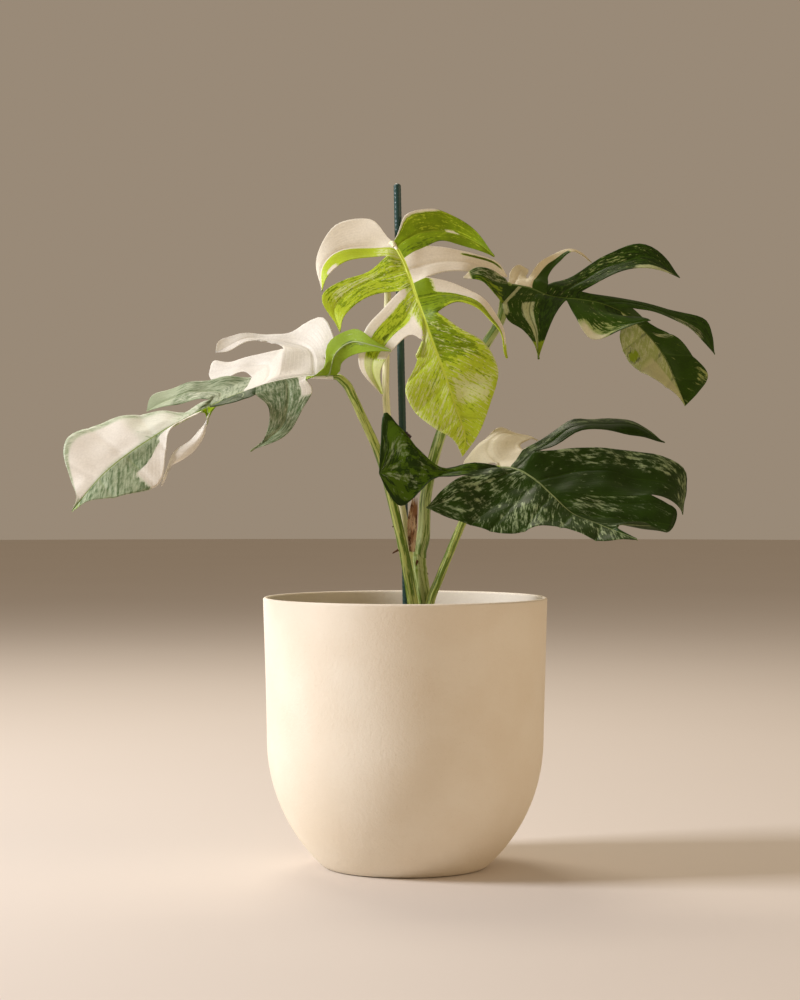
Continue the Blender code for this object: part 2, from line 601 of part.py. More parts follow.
def build_sheath(collection, crown):
    """Dry papery sheath left on the stem by an older leaf, rolled round the way it grew."""
    path = smooth_path(SHEATH_ROUTE, np.linspace(0, 1, SHEATH_ROWS)) * MM
    rolled = math.radians(SHEATH_ROLL)
    mesh = bpy.data.meshes.new("dried_sheath")
    verts, faces = [], []
    for i, spot in enumerate(path):
        up = i / (SHEATH_ROWS - 1)
        reach = (SHEATH_TIP_RADIUS + (SHEATH_RADIUS - SHEATH_TIP_RADIUS) * math.sin(math.pi * up)) * MM
        for j in range(SHEATH_COLUMNS):
            side = j / (SHEATH_COLUMNS - 1) - 0.5
            angle = math.radians(SHEATH_FACING) + rolled * side * (1 - SHEATH_UNROLLED * up)
            verts.append((spot[0] + reach * math.cos(angle), spot[1] + reach * math.sin(angle), spot[2]))
            if i and j:
                corner = i * SHEATH_COLUMNS + j
                below = corner - SHEATH_COLUMNS
                faces.append((below - 1, below, corner, corner - 1))
    mesh.from_pydata(verts, [], faces)
    paper = make_material("dried_sheath", (0.35, 0.18, 0.10), 0.8)
    sheath = add_object("dried_sheath", mesh, collection, paper, crown)
    solidify = sheath.modifiers.new("Thickness", "SOLIDIFY")
    solidify.thickness = SHEATH_THICKNESS * MM
    solidify.offset = 0


class BladeMesh:
    """Collects a blade's points by where they sit, so that neighbours share them."""

    def __init__(self):
        self.spots = {}
        self.verts = []
        self.faces = []

    def add(self, key, place):
        if key not in self.spots:
            self.spots[key] = len(self.verts)
            self.verts.append(tuple(place))

    def face(self, keys, flip):
        corners = []
        for key in keys:
            if self.spots[key] not in corners:
                corners.append(self.spots[key])
        if len(corners) > 2:
            self.faces.append(corners[::-1] if flip else corners)


def across(basal, middle, distal, part):
    """A point part of the way over a finger, which is creased a little along its vein."""
    bow = basal * (1 - part) * (1 - 2 * part) + distal * part * (2 * part - 1)
    bow += middle * 4 * part * (1 - part)
    if part < 0.5:
        crease = basal + (middle - basal) * 2 * part
    else:
        crease = middle + (distal - middle) * (2 * part - 1)
    return (bow + crease) / 2


def add_half(mesh, half, midrib, flip):
    """One side of a blade: its fingers, then the undivided end round the midrib's tip."""
    side = "right" if flip else "left"
    web = np.linspace(0, 1, WEB_ROWS + 1)
    free = 1 - (1 - np.linspace(0, 1, FINGER_ROWS + 1)) ** TIP_CROWDING
    rows = WEB_ROWS + FINGER_ROWS
    first, split = 0, np.array(half.shoulder, float)
    for number, finger in enumerate(half.fingers):
        last, next_split = finger.last, np.array(finger.split, float)
        origin = midrib[(first + last) // 2]
        tip = finger.vein[-1]
        vein = [origin, *finger.vein]
        basal = smooth_path([split, *finger.basal, tip], free)
        distal = smooth_path([next_split, *finger.distal, tip], free)
        trial = smooth_path(vein, np.linspace(0, 1, 101))
        reach = np.argmin(np.linalg.norm(trial - (split + next_split) / 2, axis=1)) / 100
        reach = min(max(reach, LEAST_WEB), MOST_WEB)
        inner = smooth_path(vein, reach * web)
        outer = smooth_path(vein, reach + (1 - reach) * free)

        def key(i, j, number=number, first=first, last=last):
            if j == 0:
                return ("midrib", i)
            if j == rows:
                return (side, number, "tip")
            if j <= WEB_ROWS and i in (first, last):
                return (side, "web", i, j)
            return (side, number, i, j)

        for i in range(first, last + 1):
            part = (i - first) / (last - first)
            mesh.add(key(i, 0), midrib[i])
            for j in range(1, rows + 1):
                if j <= WEB_ROWS:
                    near = midrib[first] + (split - midrib[first]) * web[j]
                    far = midrib[last] + (next_split - midrib[last]) * web[j]
                    place = across(near, inner[j], far, part)
                else:
                    k = j - WEB_ROWS
                    place = across(basal[k], outer[k], distal[k], part)
                mesh.add(key(i, j), place)
        for i in range(first, last):
            for j in range(rows):
                mesh.face((key(i, j), key(i + 1, j), key(i + 1, j + 1), key(i, j + 1)), flip)
        first, split = last, next_split

    margin = smooth_path([split, *half.end, midrib[-1]], np.linspace(0, 1, RIBS - first + 1))

    def end_key(i, j):
        if j == 0 or i == RIBS:
            return ("midrib", i)
        return (side, "web", i, j) if i == first else (side, "end", i, j)

    for i in range(first, RIBS + 1):
        for j in range(WEB_ROWS + 1):
            mesh.add(end_key(i, j), midrib[i] + (margin[i - first] - midrib[i]) * web[j])
    for i in range(first, RIBS):
        for j in range(WEB_ROWS):
            mesh.face((end_key(i, j), end_key(i + 1, j), end_key(i + 1, j + 1), end_key(i, j + 1)), flip)


def build_blade(name, leaf, color, collection, crown):
    """One leaf blade: an open surface of two halves on the midrib, given its thickness."""
    midrib = smooth_path(leaf.midrib, (np.arange(RIBS + 1) / RIBS) ** MIDRIB_CROWDING)
    blade = BladeMesh()
    add_half(blade, leaf.right, midrib, True)
    add_half(blade, leaf.left, midrib, False)
    mesh = bpy.data.meshes.new(name)
    mesh.from_pydata([Vector(v) * MM for v in blade.verts], [], blade.faces)
    mesh.shade_smooth()
    skin = make_material(name, color, 0.4)
    piece = add_object(name, mesh, collection, skin, crown, Vector(leaf.base) * MM)
    solidify = piece.modifiers.new("Thickness", "SOLIDIFY")
    solidify.thickness = BLADE_THICKNESS
    solidify.offset = 0


def main():
    for piece in list(bpy.data.objects):
        bpy.data.objects.remove(piece, do_unlink=True)
    collection = bpy.data.collections.new("potted_monstera")
    cutters = bpy.data.collections.new("cutters")
    for group in (collection, cutters):
        bpy.context.scene.collection.children.link(group)
    build_outer_pot(collection)
    build_nursery_pot(collection, cutters)
    build_potting_mix(collection)
    crown = add_object("crown", None, collection, place=(0, 0, crown_height()))
    build_root_ball(collection, cutters, crown)
    build_stems(collection, crown)
    build_tie(collection, crown)
    build_sheath(collection, crown)
    for side, leaf in LEAVES.items():
        build_blade("leaf_" + side, leaf, BLADE_COLORS[side], collection, crown)


main()
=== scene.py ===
"""Potted monstera, the looks of it: a variegated climbing plant on a support stake, potted in its
nursery pot, which stands inside a round-bottomed outer pot. Metres, +Z up, the origin at the
centre of the outer pot's foot. The plant's own points are in millimetres from its crown.
"""
import math
from collections import namedtuple
from functools import partial

import bmesh
import bpy
import numpy as np
from bpy.props import FloatProperty, FloatVectorProperty, IntProperty, PointerProperty
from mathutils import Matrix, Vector


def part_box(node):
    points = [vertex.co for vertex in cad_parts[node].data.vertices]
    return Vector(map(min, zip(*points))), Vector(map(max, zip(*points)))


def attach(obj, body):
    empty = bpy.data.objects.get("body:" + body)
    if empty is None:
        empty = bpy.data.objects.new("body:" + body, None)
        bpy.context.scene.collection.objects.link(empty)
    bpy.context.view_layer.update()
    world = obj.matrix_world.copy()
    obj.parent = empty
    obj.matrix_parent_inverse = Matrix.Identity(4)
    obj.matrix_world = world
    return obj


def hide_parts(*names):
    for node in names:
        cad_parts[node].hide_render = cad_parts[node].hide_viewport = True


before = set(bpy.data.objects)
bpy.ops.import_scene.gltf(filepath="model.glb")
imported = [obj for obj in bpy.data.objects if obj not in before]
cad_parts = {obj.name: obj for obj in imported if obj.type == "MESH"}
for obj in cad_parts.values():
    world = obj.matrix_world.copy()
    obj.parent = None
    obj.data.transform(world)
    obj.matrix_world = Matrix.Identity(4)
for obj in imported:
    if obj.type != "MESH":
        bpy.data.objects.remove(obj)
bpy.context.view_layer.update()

bl_info = {
    "name": "Potted Monstera",
    "version": (1, 0, 0),
    "blender": (4, 5, 0),
    "location": "3D View > Sidebar > Monstera",
    "description": "A variegated monstera in a round-bottomed stoneware pot",
    "category": "Add Mesh",
}

MM = 0.001
TURN = 6.28                     # a whole turn, for waves that start anywhere

# Stalk: a leaf stalk's route from the crown and its thickness at each end.
# Finger: one lobe of a blade. It ends at column `last`; `split` is the bottom of the split after
# it, `basal` and `distal` its edges on the stalk's side and the tip's, and `vein` runs to its tip.
# Half: one side of a blade, from its shoulder by the stalk, over its fingers, round its end.
# Right and left are as seen from the stalk, looking along the blade's upper face.
# Blade points are (x, y, z) in millimetres from the place where the stalk joins the blade.
Stalk = namedtuple("Stalk", "route thickness")
Finger = namedtuple("Finger", "last split basal vein distal")
Half = namedtuple("Half", "shoulder fingers end")
Leaf = namedtuple("Leaf", "base midrib right left stalk")

LEAF_CENTER = Leaf(
    base=(-9, -2, 302),
    midrib=[(0, 0, 0), (8, -12, -16), (17, -32, -43), (27, -49, -72), (37, -58, -99),
            (46, -63, -126), (52, -64, -146), (50, -63, -159)],
    right=Half(
        shoulder=(-4, 4, 4),
        fingers=[
            Finger(5, (-4, -8, -12),
                   basal=[(-16, 14, 18), (-40, 16, 16), (-56, 4, -11)],
                   vein=[(-16, 4, -2), (-35, 5, -5), (-52, -3, -19), (-53, -10, -37)],
                   distal=[(-20, -6, -11), (-37, -9, -16), (-47, -10, -25)]),
            Finger(9, (5, -28, -38),
                   basal=[(-15, -12, -21), (-35, -16, -29), (-51, -20, -40)],
                   vein=[(-15, -18, -29), (-31, -22, -38), (-43, -26, -50), (-39, -31, -68)],
                   distal=[(-11, -25, -40), (-30, -28, -50), (-36, -30, -57)]),
            Finger(13, (22, -50, -76),
                   basal=[(-7, -31, -52), (-21, -34, -69), (-25, -38, -92)],
                   vein=[(7, -38, -60), (-6, -39, -75), (-15, -40, -92), (-9, -41, -114)],
                   distal=[(14, -45, -71), (-1, -44, -84), (-9, -43, -98)]),
        ],
        end=[(16, -56, -94), (9, -61, -113), (15, -64, -126), (29, -68, -138), (44, -67, -148)]),
    left=Half(
        shoulder=(3, 4, 6),
        fingers=[
            Finger(5, (25, -4, -3),
                   basal=[(10, 12, 22), (28, 17, 26), (57, 14, 14)],
                   vein=[(24, 8, 9), (42, 12, 9), (60, 8, 2), (75, -1, -10)],
                   distal=[(35, 2, 1), (48, 4, -1), (63, 2, -6)]),
            Finger(9, (24, -26, -28),
                   basal=[(42, -2, -5), (61, 0, -9), (78, 2, -15)],
                   vein=[(35, -10, -15), (52, -6, -16), (68, -1, -18), (85, 4, -25)],
                   distal=[(39, -16, -23), (54, -12, -24), (70, -4, -26)]),
            Finger(13, (33, -44, -55),
                   basal=[(40, -28, -31), (60, -34, -41), (76, -42, -58)],
                   vein=[(40, -36, -41), (59, -40, -47), (74, -46, -62), (84, -56, -87)],
                   distal=[(45, -43, -48), (62, -46, -53), (75, -51, -67)]),
        ],
        end=[(48, -48, -66), (66, -50, -77), (76, -52, -96), (70, -57, -120), (60, -63, -145)]),
    stalk=Stalk(
        route=[(11, 8, 0), (6, 9, 52), (4, 8, 67), (0, 7, 90), (-3, 6, 108), (-10, 5, 149),
               (-14, 5, 183), (-14, 6, 223), (-13, 7, 261), (-12, 6, 289)],
        thickness=(3.1, 2.6)))

LEAF_LEFT = Leaf(
    base=(-51, -14, 203),
    midrib=[(0, 0, 0), (-19, -4, 0), (-48, -13, -5), (-74, -22, -15), (-101, -32, -28),
            (-133, -43, -47), (-165, -53, -72), (-187, -62, -99)],
    right=Half(
        shoulder=(-2, 10, 7),
        fingers=[
            Finger(8, (-39, 22, 19),
                   basal=[(-2, 14, 28), (-10, 26, 44), (-38, 38, 33), (-76, 42, 33), (-90, 38, 27)],
                   vein=[(-21, 22, 21), (-40, 34, 27), (-64, 40, 31), (-91, 34, 20)],
                   distal=[(-43, 32, 23), (-62, 37, 28), (-85, 34, 20)]),
            Finger(11, (-62, 12, -1),
                   basal=[(-59, 28, 16), (-82, 36, 12), (-94, 40, 13)],
                   vein=[(-52, 18, 8), (-74, 28, 7), (-97, 36, 3)],
                   distal=[(-68, 20, 3), (-80, 26, -1), (-95, 34, -1)]),
            Finger(15, (-90, -22, -19),
                   basal=[(-85, 10, -2), (-111, 10, -7), (-136, 4, -16)],
                   vein=[(-86, -6, -11), (-115, -2, -15), (-139, -6, -26)],
                   distal=[(-102, -16, -19), (-124, -12, -23)]),
        ],
        end=[(-106, -24, -25), (-137, -16, -27), (-168, -22, -35), (-194, -36, -49),
             (-195, -40, -57), (-189, -52, -76), (-184, -59, -90)]),
    left=Half(
        shoulder=(3, -6, 3),
        fingers=[
            Finger(5, (-22, -10, -3),
                   basal=[(5, -16, 9), (14, -28, 14), (28, -38, 16)],
                   vein=[(-1, -17, 13), (11, -28, 23), (28, -38, 20), (41, -43, 16)],
                   distal=[(-9, -11, 4), (-4, -18, 24), (14, -28, 33), (30, -38, 23)]),
            Finger(10, (-58, -24, -15),
                   basal=[(-17, -16, -10), (-23, -28, -25), (-37, -38, -46)],
                   vein=[(-34, -24, -19), (-38, -33, -37), (-61, -42, -56)],
                   distal=[(-49, -28, -23), (-48, -34, -38), (-54, -40, -51)]),
            Finger(13, (-82, -30, -20),
                   basal=[(-61, -36, -17), (-67, -52, -21)],
                   vein=[(-68, -40, -18), (-76, -56, -21), (-88, -70, -23)],
                   distal=[(-78, -42, -19), (-84, -56, -21)]),
            Finger(15, (-95, -33, -27),
                   basal=[(-92, -36, -31), (-94, -40, -44), (-101, -44, -56), (-117, -46, -66)],
                   vein=[(-92, -33, -30), (-98, -42, -46), (-112, -46, -58), (-124, -48, -81)],
                   distal=[(-93, -32, -28), (-102, -39, -47), (-117, -44, -61)]),
        ],
        end=[(-118, -42, -40), (-121, -50, -56), (-125, -60, -80), (-150, -66, -88),
             (-173, -66, -92)]),
    stalk=Stalk(
        route=[(9, -7, 0), (5, -8, 38), (3, -9, 51), (-3, -10, 82), (-10, -11, 112),
               (-19, -12, 144), (-24, -12, 156), (-31, -13, 171), (-38, -14, 186), (-44, -14, 197)],
        thickness=(4.2, 3.0)))

LEAF_RIGHT = Leaf(
    base=(76, -10, 271),
    midrib=[(0, 0, 0), (16, 2, -3), (32, 5, -9), (52, 8, -11), (70, 10, -14), (86, 12, -21),
            (101, 11, -34), (115, 8, -52), (123, 4, -70), (131, 0, -90)],
    right=Half(
        shoulder=(-2, -4, 3),
        fingers=[
            Finger(3, (-6, -12, -17),
                   basal=[(-14, -6, 9), (-24, -8, 10)],
                   vein=[(-10, -11, 0), (-21, -12, 5), (-33, -10, 3)],
                   distal=[(-11, -16, -10), (-19, -14, 0)]),
            Finger(10, (43, 3, -12),
                   basal=[(-1, -18, -29), (10, -24, -37), (17, -28, -47)],
                   vein=[(15, -10, -19), (19, -23, -38), (20, -30, -58)],
                   distal=[(35, -10, -22), (27, -22, -39)]),
            Finger(15, (86, 8, -24),
                   basal=[(48, -4, -24), (61, -14, -42), (82, -16, -36)],
                   vein=[(67, -2, -23), (84, -10, -31), (104, -8, -27)],
                   distal=[(92, 4, -25), (98, -3, -26)]),
        ],
        end=[(82, -3, -41), (88, -8, -57), (103, -11, -69), (121, -7, -80)]),
    left=Half(
        shoulder=(1, 8, 5),
        fingers=[
            Finger(4, (15, 14, 5),
                   basal=[(3, 22, 12), (9, 38, 17)],
                   vein=[(10, 24, 11), (13, 40, 15), (16, 52, 13)],
                   distal=[(15, 24, 8), (17, 40, 11)]),
            Finger(7, (29, 13, -2),
                   basal=[(25, 24, 18), (37, 36, 25), (51, 44, 28)],
                   vein=[(24, 18, 8), (35, 30, 20), (50, 40, 27), (65, 44, 19)],
                   distal=[(31, 20, 8), (40, 30, 20), (50, 38, 26)]),
            Finger(11, (55, 13, -5),
                   basal=[(52, 26, 10), (75, 36, 24), (102, 42, 32), (121, 38, 21)],
                   vein=[(56, 20, 5), (81, 30, 17), (109, 36, 22), (130, 28, 7)],
                   distal=[(70, 16, 4), (92, 22, 12), (116, 26, 11)]),
            Finger(15, (93, 15, -17),
                   basal=[(78, 22, -8), (118, 28, -16), (150, 28, -25)],
                   vein=[(85, 18, -12), (120, 23, -20), (145, 21, -34), (155, 16, -51)],
                   distal=[(110, 18, -19), (130, 18, -28), (146, 18, -42)]),
        ],
        end=[(114, 18, -33), (136, 15, -50), (148, 10, -69), (140, 4, -81)]),
    stalk=Stalk(
        route=[(11, 0, 73), (13, 0, 82), (15, 0, 112), (16, 0, 119), (21, 0, 142), (25, 0, 156),
               (43, 0, 195), (60, -2, 227), (71, -4, 246), (74, -6, 261)],
        thickness=(4.6, 3.4)))

LEAF_LOW = Leaf(
    base=(68, -30, 136),
    midrib=[(0, 0, 0), (10, -6, -1), (24, -18, -8), (37, -32, -20), (51, -46, -33), (65, -58, -39),
            (79, -68, -45), (94, -80, -51)],
    right=Half(
        shoulder=(-3, -4, 1),
        fingers=[
            Finger(4, (-18, -18, -7),
                   basal=[(-18, -8, 3), (-41, -14, -1), (-63, -18, 16), (-83, -20, 39),
                          (-86, -22, 15)],
                   vein=[(-23, -14, -3), (-43, -18, -4), (-66, -22, 0), (-87, -24, -5)],
                   distal=[(-31, -20, -8), (-46, -21, -8), (-73, -24, -28), (-81, -25, -18)]),
            Finger(8, (-22, -56, -43),
                   basal=[(-30, -28, -10), (-43, -42, -18)],
                   vein=[(-19, -32, -16), (-38, -46, -23), (-53, -56, -29)],
                   distal=[(-36, -56, -37), (-46, -57, -32)]),
        ],
        end=[(6, -64, -46), (34, -66, -41), (54, -74, -47), (72, -80, -52)]),
    left=Half(
        shoulder=(-1, 4, 3),
        fingers=[
            Finger(4, (18, 12, 13),
                   basal=[(-25, 14, 1), (-11, 28, 17), (3, 40, 29), (19, 46, 23)],
                   vein=[(-7, 16, 11), (2, 32, 24), (18, 40, 22), (31, 40, 19)],
                   distal=[(17, 22, 16), (22, 30, 18), (26, 36, 19)]),
            Finger(7, (26, -2, 10),
                   basal=[(34, 22, 22), (61, 36, 35), (92, 44, 35)],
                   vein=[(39, 16, 19), (70, 28, 32), (98, 36, 29), (126, 34, 20)],
                   distal=[(40, 10, 15), (70, 20, 27), (100, 28, 22)]),
            Finger(13, (108, -30, -21),
                   basal=[(56, 4, 13), (104, 8, 11), (136, 4, -3)],
                   vein=[(59, -8, -3), (99, -12, -8), (128, -12, -16), (133, -16, -35)],
                   distal=[(118, -26, -23), (127, -20, -28)]),
        ],
        end=[(126, -36, -32), (118, -50, -47), (101, -58, -40), (80, -67, -42)]),
    stalk=Stalk(
        route=[(18, -10, 0), (19, -9, 38), (25, -9, 53), (31, -10, 68), (41, -14, 92),
               (53, -20, 116), (63, -27, 132)],
        thickness=(3.5, 2.8)))

LEAVES = {"center": LEAF_CENTER, "left": LEAF_LEFT, "right": LEAF_RIGHT, "low": LEAF_LOW}

RIBS = 24                       # columns along a midrib that the blades' points are counted in
FINE = 8                        # columns of the mesh to each of those
WEB_ROWS = 20                   # rows from the midrib out to the bottoms of the splits
FINGER_ROWS = 26                # rows from there to a finger's tip
END_VEINS = (0.12, 0.32, 0.54, 0.76)    # where the side veins of a blade's end leave its midrib

# Patch: how strongly a colour shows over part of a finger, from 0 to 1: across it from its
# stalk-side edge, then out from the midrib. Strengths round a half break up into streaks.
# A later patch of a colour takes the place of an earlier one.
ALL = (-1.0, 2.0)
Patch = namedtuple("Patch", "tone strength across out", defaults=(ALL, ALL))
TONES = ("cream", "lime", "dark", "silver")
Cream, Lime, Dark, Silver = (partial(Patch, tone) for tone in TONES)
PATCH_EDGE = 0.05               # over which a patch fades, as a share of the finger

# For each blade and half, the patches of its fingers from the stalk on, then those of its end.
PAINT = {
    "center": {
        "right": [
            [Lime(1.3), Cream(1.4, (-1, 0.56)), Cream(0.5, (0.6, 2), (-1, 0.22)),
             Cream(1.3, (0.86, 2), (0.66, 0.8))],
            [Lime(0.6), Cream(0.26), Cream(0.5, (0.22, 0.46), (0.25, 0.72)),
             Cream(0.36, ALL, (-1, 0.2)), Lime(0.95, ALL, (0.75, 2))],
            [Lime(0.62), Cream(0.42, ALL, (-1, 0.2)), Cream(1.4, (-1, 0.2), (0.12, 2)),
             Dark(1.0, (0.4, 0.54), (0.42, 0.5)), Cream(1.1, (0.6, 2), (0.12, 0.68)),
             Silver(1.4, ALL, (0.68, 2)), Cream(0, (0.25, 2), (0.68, 2))],
            [Lime(0.75), Cream(0.42), Cream(0.6, (0.1, 0.2), (0.05, 0.6)),
             Cream(0.55, ALL, (0.9, 2))]],
        "left": [
            # The first finger's two dark patches are painted shade: one along its tip-side edge
            # near the midrib, in the corner by the next finger, and one over its tip.
            [Lime(0.4, (-1, 0.8), (0.15, 0.85)), Dark(0.5, (0.72, 2), (-1, 0.4)),
             Dark(0.36, ALL, (0.84, 2)), Cream(1.4, (-1, 0.05), (0.05, 0.5)),
             Cream(1.2, (0.46, 0.52), (0.48, 0.62))],
            [Cream(1.4), Cream(0, (0.08, 0.2), (0.5, 0.92)),
             Dark(1.3, (0.06, 0.22), (0.48, 0.94))],
            [Dark(0.5, (0.4, 2), (-1, 0.4)), Cream(1.4, (-1, 0.42), (0.16, 0.9)),
             Lime(0.5, (0.42, 2), (0.3, 2)), Lime(1.2, (0.86, 2), (0.2, 2)),
             Lime(1.2, ALL, (0.84, 2))],
            [Lime(0.72), Cream(0.34), Lime(0.3, (-1, 0.36), (-1, 0.8)),
             Dark(0.46, (-1, 0.32), (-1, 0.7)), Cream(0.62, (0.5, 0.66), (0.1, 0.9)),
             Cream(0.7, (0.1, 0.5), (0.96, 2))]]},
    "left": {
        "right": [
            [Cream(1.5)],
            [Cream(1.5)],
            [Silver(0.62), Silver(1.0, ALL, (0.72, 2)), Dark(0.55, (0.5, 0.9), (-1, 0.6)),
             Cream(0.4, (0.6, 0.95), (0.3, 0.85))],
            [Silver(1.0), Cream(0.5), Cream(0.72, (0.16, 0.4), (0.04, 0.86)),
             Cream(0.92, (0.4, 2), (0.04, 0.86)), Dark(1.2, (-1, 0.1), (0.1, 0.7)),
             Lime(1.3, (0.94, 2)), Cream(0, (0.94, 2), (-1, 0.5))]],
        "left": [
            [Lime(1.3), Dark(0.5, (0.3, 0.6), (0.4, 0.75)), Cream(0.3, (0.3, 2), (0.2, 0.8))],
            [Silver(0.56), Dark(0.4, (0.5, 2)), Cream(0.34, ALL, (0.1, 0.6)),
             Cream(1.4, (-1, 0.22), (-1, 0.3))],
            [Dark(0.9)],
            [Cream(1.4), Lime(1.2, ALL, (-1, 0.25)), Cream(0.2, ALL, (-1, 0.22))],
            [Cream(1.4), Cream(0.15, (0.1, 2), (-1, 0.22)), Cream(0.2, (0.3, 2), (-1, 0.48)),
             Cream(0.3, (0.56, 2)), Dark(0.36, (0.1, 2), (-1, 0.6)), Silver(0.62, (0.1, 2)),
             Lime(1.3, (0.95, 2))]]},
    "right": {
        "right": [
            [Dark(0.4), Silver(0.5, (-1, 0.5)), Lime(0.5, (0.5, 2), (0.2, 0.85)),
             Cream(1.0, ALL, (0.86, 2))],
            [Cream(0.34, (-1, 0.7)), Silver(0.8, (0.34, 0.58), (0.2, 0.9)),
             Silver(0.75, (-1, 0.12), (-1, 0.34)), Dark(0.6, (0.62, 2)), Dark(0, ALL, (0.8, 2)),
             Lime(1.4, ALL, (0.8, 2))],
            [Cream(0.3, (0.1, 0.7)), Cream(0.46, (0.1, 0.4), (0.4, 0.8)),
             Cream(0.8, (-1, 0.14), (0.34, 0.66)), Dark(0.6, (0.7, 2))],
            [Silver(0.85), Cream(0.52), Cream(0.72, (0.5, 0.95), (0.3, 2)),
             Lime(1.3, (0.37, 0.44), (0.62, 0.96)), Silver(0.1, (0.37, 0.44), (0.62, 0.96)),
             Cream(0.1, (0.37, 0.44), (0.62, 0.96))]],
        "left": [
            [Cream(1.4)],
            [Cream(1.4, (-1, 0.45)), Cream(1.4, ALL, (0.74, 2))],
            [Cream(0.3), Silver(0.8, (0.84, 2), (0.6, 0.95)), Dark(0.6),
             Cream(0.42, (0.1, 0.4), (0.3, 0.6))],
            [Dark(0.5), Silver(0.5, (0.5, 2), (0.5, 0.85)), Cream(0.2)],
            [Cream(0.26), Dark(0.4, (-1, 0.4)), Lime(0.2, (0.3, 2), (0.1, 2)),
             Silver(0.7, (0.3, 0.38), (0.3, 0.95)), Cream(0.46, (0.62, 0.8), (0.7, 2))]]},
    "low": {
        "right": [
            [Lime(0.55, (0.05, 0.95), (0.2, 2)), Cream(0.24),
             Cream(0.46, (0.22, 0.45), (0.7, 0.95)), Cream(0.44, (0.58, 0.72), (0.7, 0.95))],
            [Cream(0.36), Silver(0.36, (-1, 0.5)), Cream(0.44, (0.1, 0.5), (0.3, 0.75))],
            [Cream(0.32), Cream(0.43, (0.15, 0.4), (0.4, 2)), Cream(0.42, (0.7, 2), (-1, 0.6)),
             Silver(0.34, (0.5, 2), (0.6, 2))]],
        "left": [
            [Cream(1.5)],
            [Silver(0.5, (-1, 0.4)), Dark(0.4, (0.4, 2))],
            [Cream(0.2), Cream(0.38, (-1, 0.34), (0.35, 2)), Silver(0.5, (-1, 0.3), (0.6, 2)),
             Cream(0.4, ALL, (0.86, 2))],
            [Cream(0.24), Cream(0.42, (0.06, 0.26), (0.06, 0.5)),
             Silver(0.7, (-1, 0.05), (0.3, 0.9))]]},
}

# Each blade's colours: its own green, then its tones, its midrib and its side veins.
BLADES = {
    "center": dict(green="#97b21a", cream="#fbf4e2", fleck="#e8efa6", lime="#cfe23c",
                   dark="#5f760e", silver="#d9de96", midrib="#e0ec58", vein="#bccf3c", rib=2.2,
                   streaks=1.35, flecks=1.25, clump=1.5, soft=0.14, slot="leaf_lime"),
    "left": dict(green="#6c8358", cream="#faf6ec", fleck="#dde2cb", lime="#9cba00", dark="#36541e",
                 silver="#bcc8a6", midrib="#93a552", vein="#a9b888", rib=1.3, streaks=0.8,
                 flecks=1.0, clump=0.8, soft=0.2, slot="leaf_silver"),
    "right": dict(green="#3c5a0a", cream="#efe6c6", fleck="#aebb70", lime="#94ac24", dark="#233703",
                  silver="#ccd39f", midrib="#62782c", vein="#48661a", rib=1.2, streaks=0.9,
                  flecks=1.2, clump=0.8, soft=0.16, slot="leaf_dark"),
    "low": dict(green="#2d4606", cream="#efe6cb", fleck="#aabb8a", lime="#55740f", dark="#1a2903",
                silver="#7c905e", midrib="#98a468", vein="#3c5713", rib=1.1, streaks=0.7,
                flecks=1.7, clump=0.55, soft=0.3, slot="leaf_dark"),
}


def linear(code):
    """Linear red, green and blue of an sRGB hex colour."""
    parts = [int(code[i:i + 2], 16) / 255 for i in (1, 3, 5)]
    return [c / 12.92 if c <= 0.04045 else ((c + 0.055) / 1.055) ** 2.4 for c in parts]


def smooth_path(points, at):
    """Points on a smooth curve through the given ones, at fractions of its length."""
    points = np.array(points, float)
    steps = np.linalg.norm(np.diff(points, axis=0), axis=1)
    knots = np.concatenate(([0.0], np.cumsum(steps))) / steps.sum()
    slopes = np.gradient(points, knots, axis=0)
    at = np.asarray(at, float)
    span = np.clip(np.searchsorted(knots, at, side="right") - 1, 0, len(knots) - 2)
    width = (knots[span + 1] - knots[span])[:, None]
    s = (at - knots[span])[:, None] / width
    start, stop = points[span], points[span + 1]
    return (start * (1 + 2 * s) * (1 - s) ** 2 + stop * s ** 2 * (3 - 2 * s)
            + width * slopes[span] * s * (1 - s) ** 2 + width * slopes[span + 1] * s ** 2 * (s - 1))


def path_length(points):
    """Length of the broken line through some points."""
    return float(np.linalg.norm(np.diff(np.array(points, float), axis=0), axis=1).sum())


def ramp(value, low, high):
    """A smooth rise from 0 at low to 1 at high."""
    t = np.clip((value - low) / (high - low), 0, 1)
    return t * t * (3 - 2 * t)


def hump(value, center, width):
    """A smooth hump, 1 at its center, that has died away a few widths from it."""
    return np.exp(-((value - center) / width) ** 2)


# ---------------------------------------------------------------- meshes and pieces


def new_object(name, data):
    """A new object in the scene, at the origin."""
    piece = bpy.data.objects.new(name, data)
    bpy.context.scene.collection.objects.link(piece)
    return piece


def finish_piece(piece, slot, *nodes):
    """Puts a finished piece on the one body and hides what it stands for. The slot is not used."""
    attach(piece, "root")
    if nodes:
        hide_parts(*nodes)
    return piece


def grid_faces(rows, columns, closed=False):
    """Faces of a grid whose points run along its columns first, closed into a tube if asked."""
    faces = []
    for i in range(rows - 1):
        for j in range(columns if closed else columns - 1):
            k = (j + 1) % columns
            here, onward = i * columns, (i + 1) * columns
            faces.append((here + j, here + k, onward + k, onward + j))
    return faces


def put_attribute(mesh, name, kind, values):
    """Writes one value for each point of a mesh."""
    layer = mesh.attributes.new(name, kind, "POINT")
    field = {"FLOAT": "value", "FLOAT_VECTOR": "vector", "FLOAT_COLOR": "color"}[kind]
    layer.data.foreach_set(field, np.asarray(values, np.float32).ravel())


def flattened(piece):
    """Turns a piece with modifiers into a plain mesh."""
    graph = bpy.context.evaluated_depsgraph_get()
    mesh = bpy.data.meshes.new_from_object(piece.evaluated_get(graph))
    piece.modifiers.clear()
    piece.data = mesh
    return piece


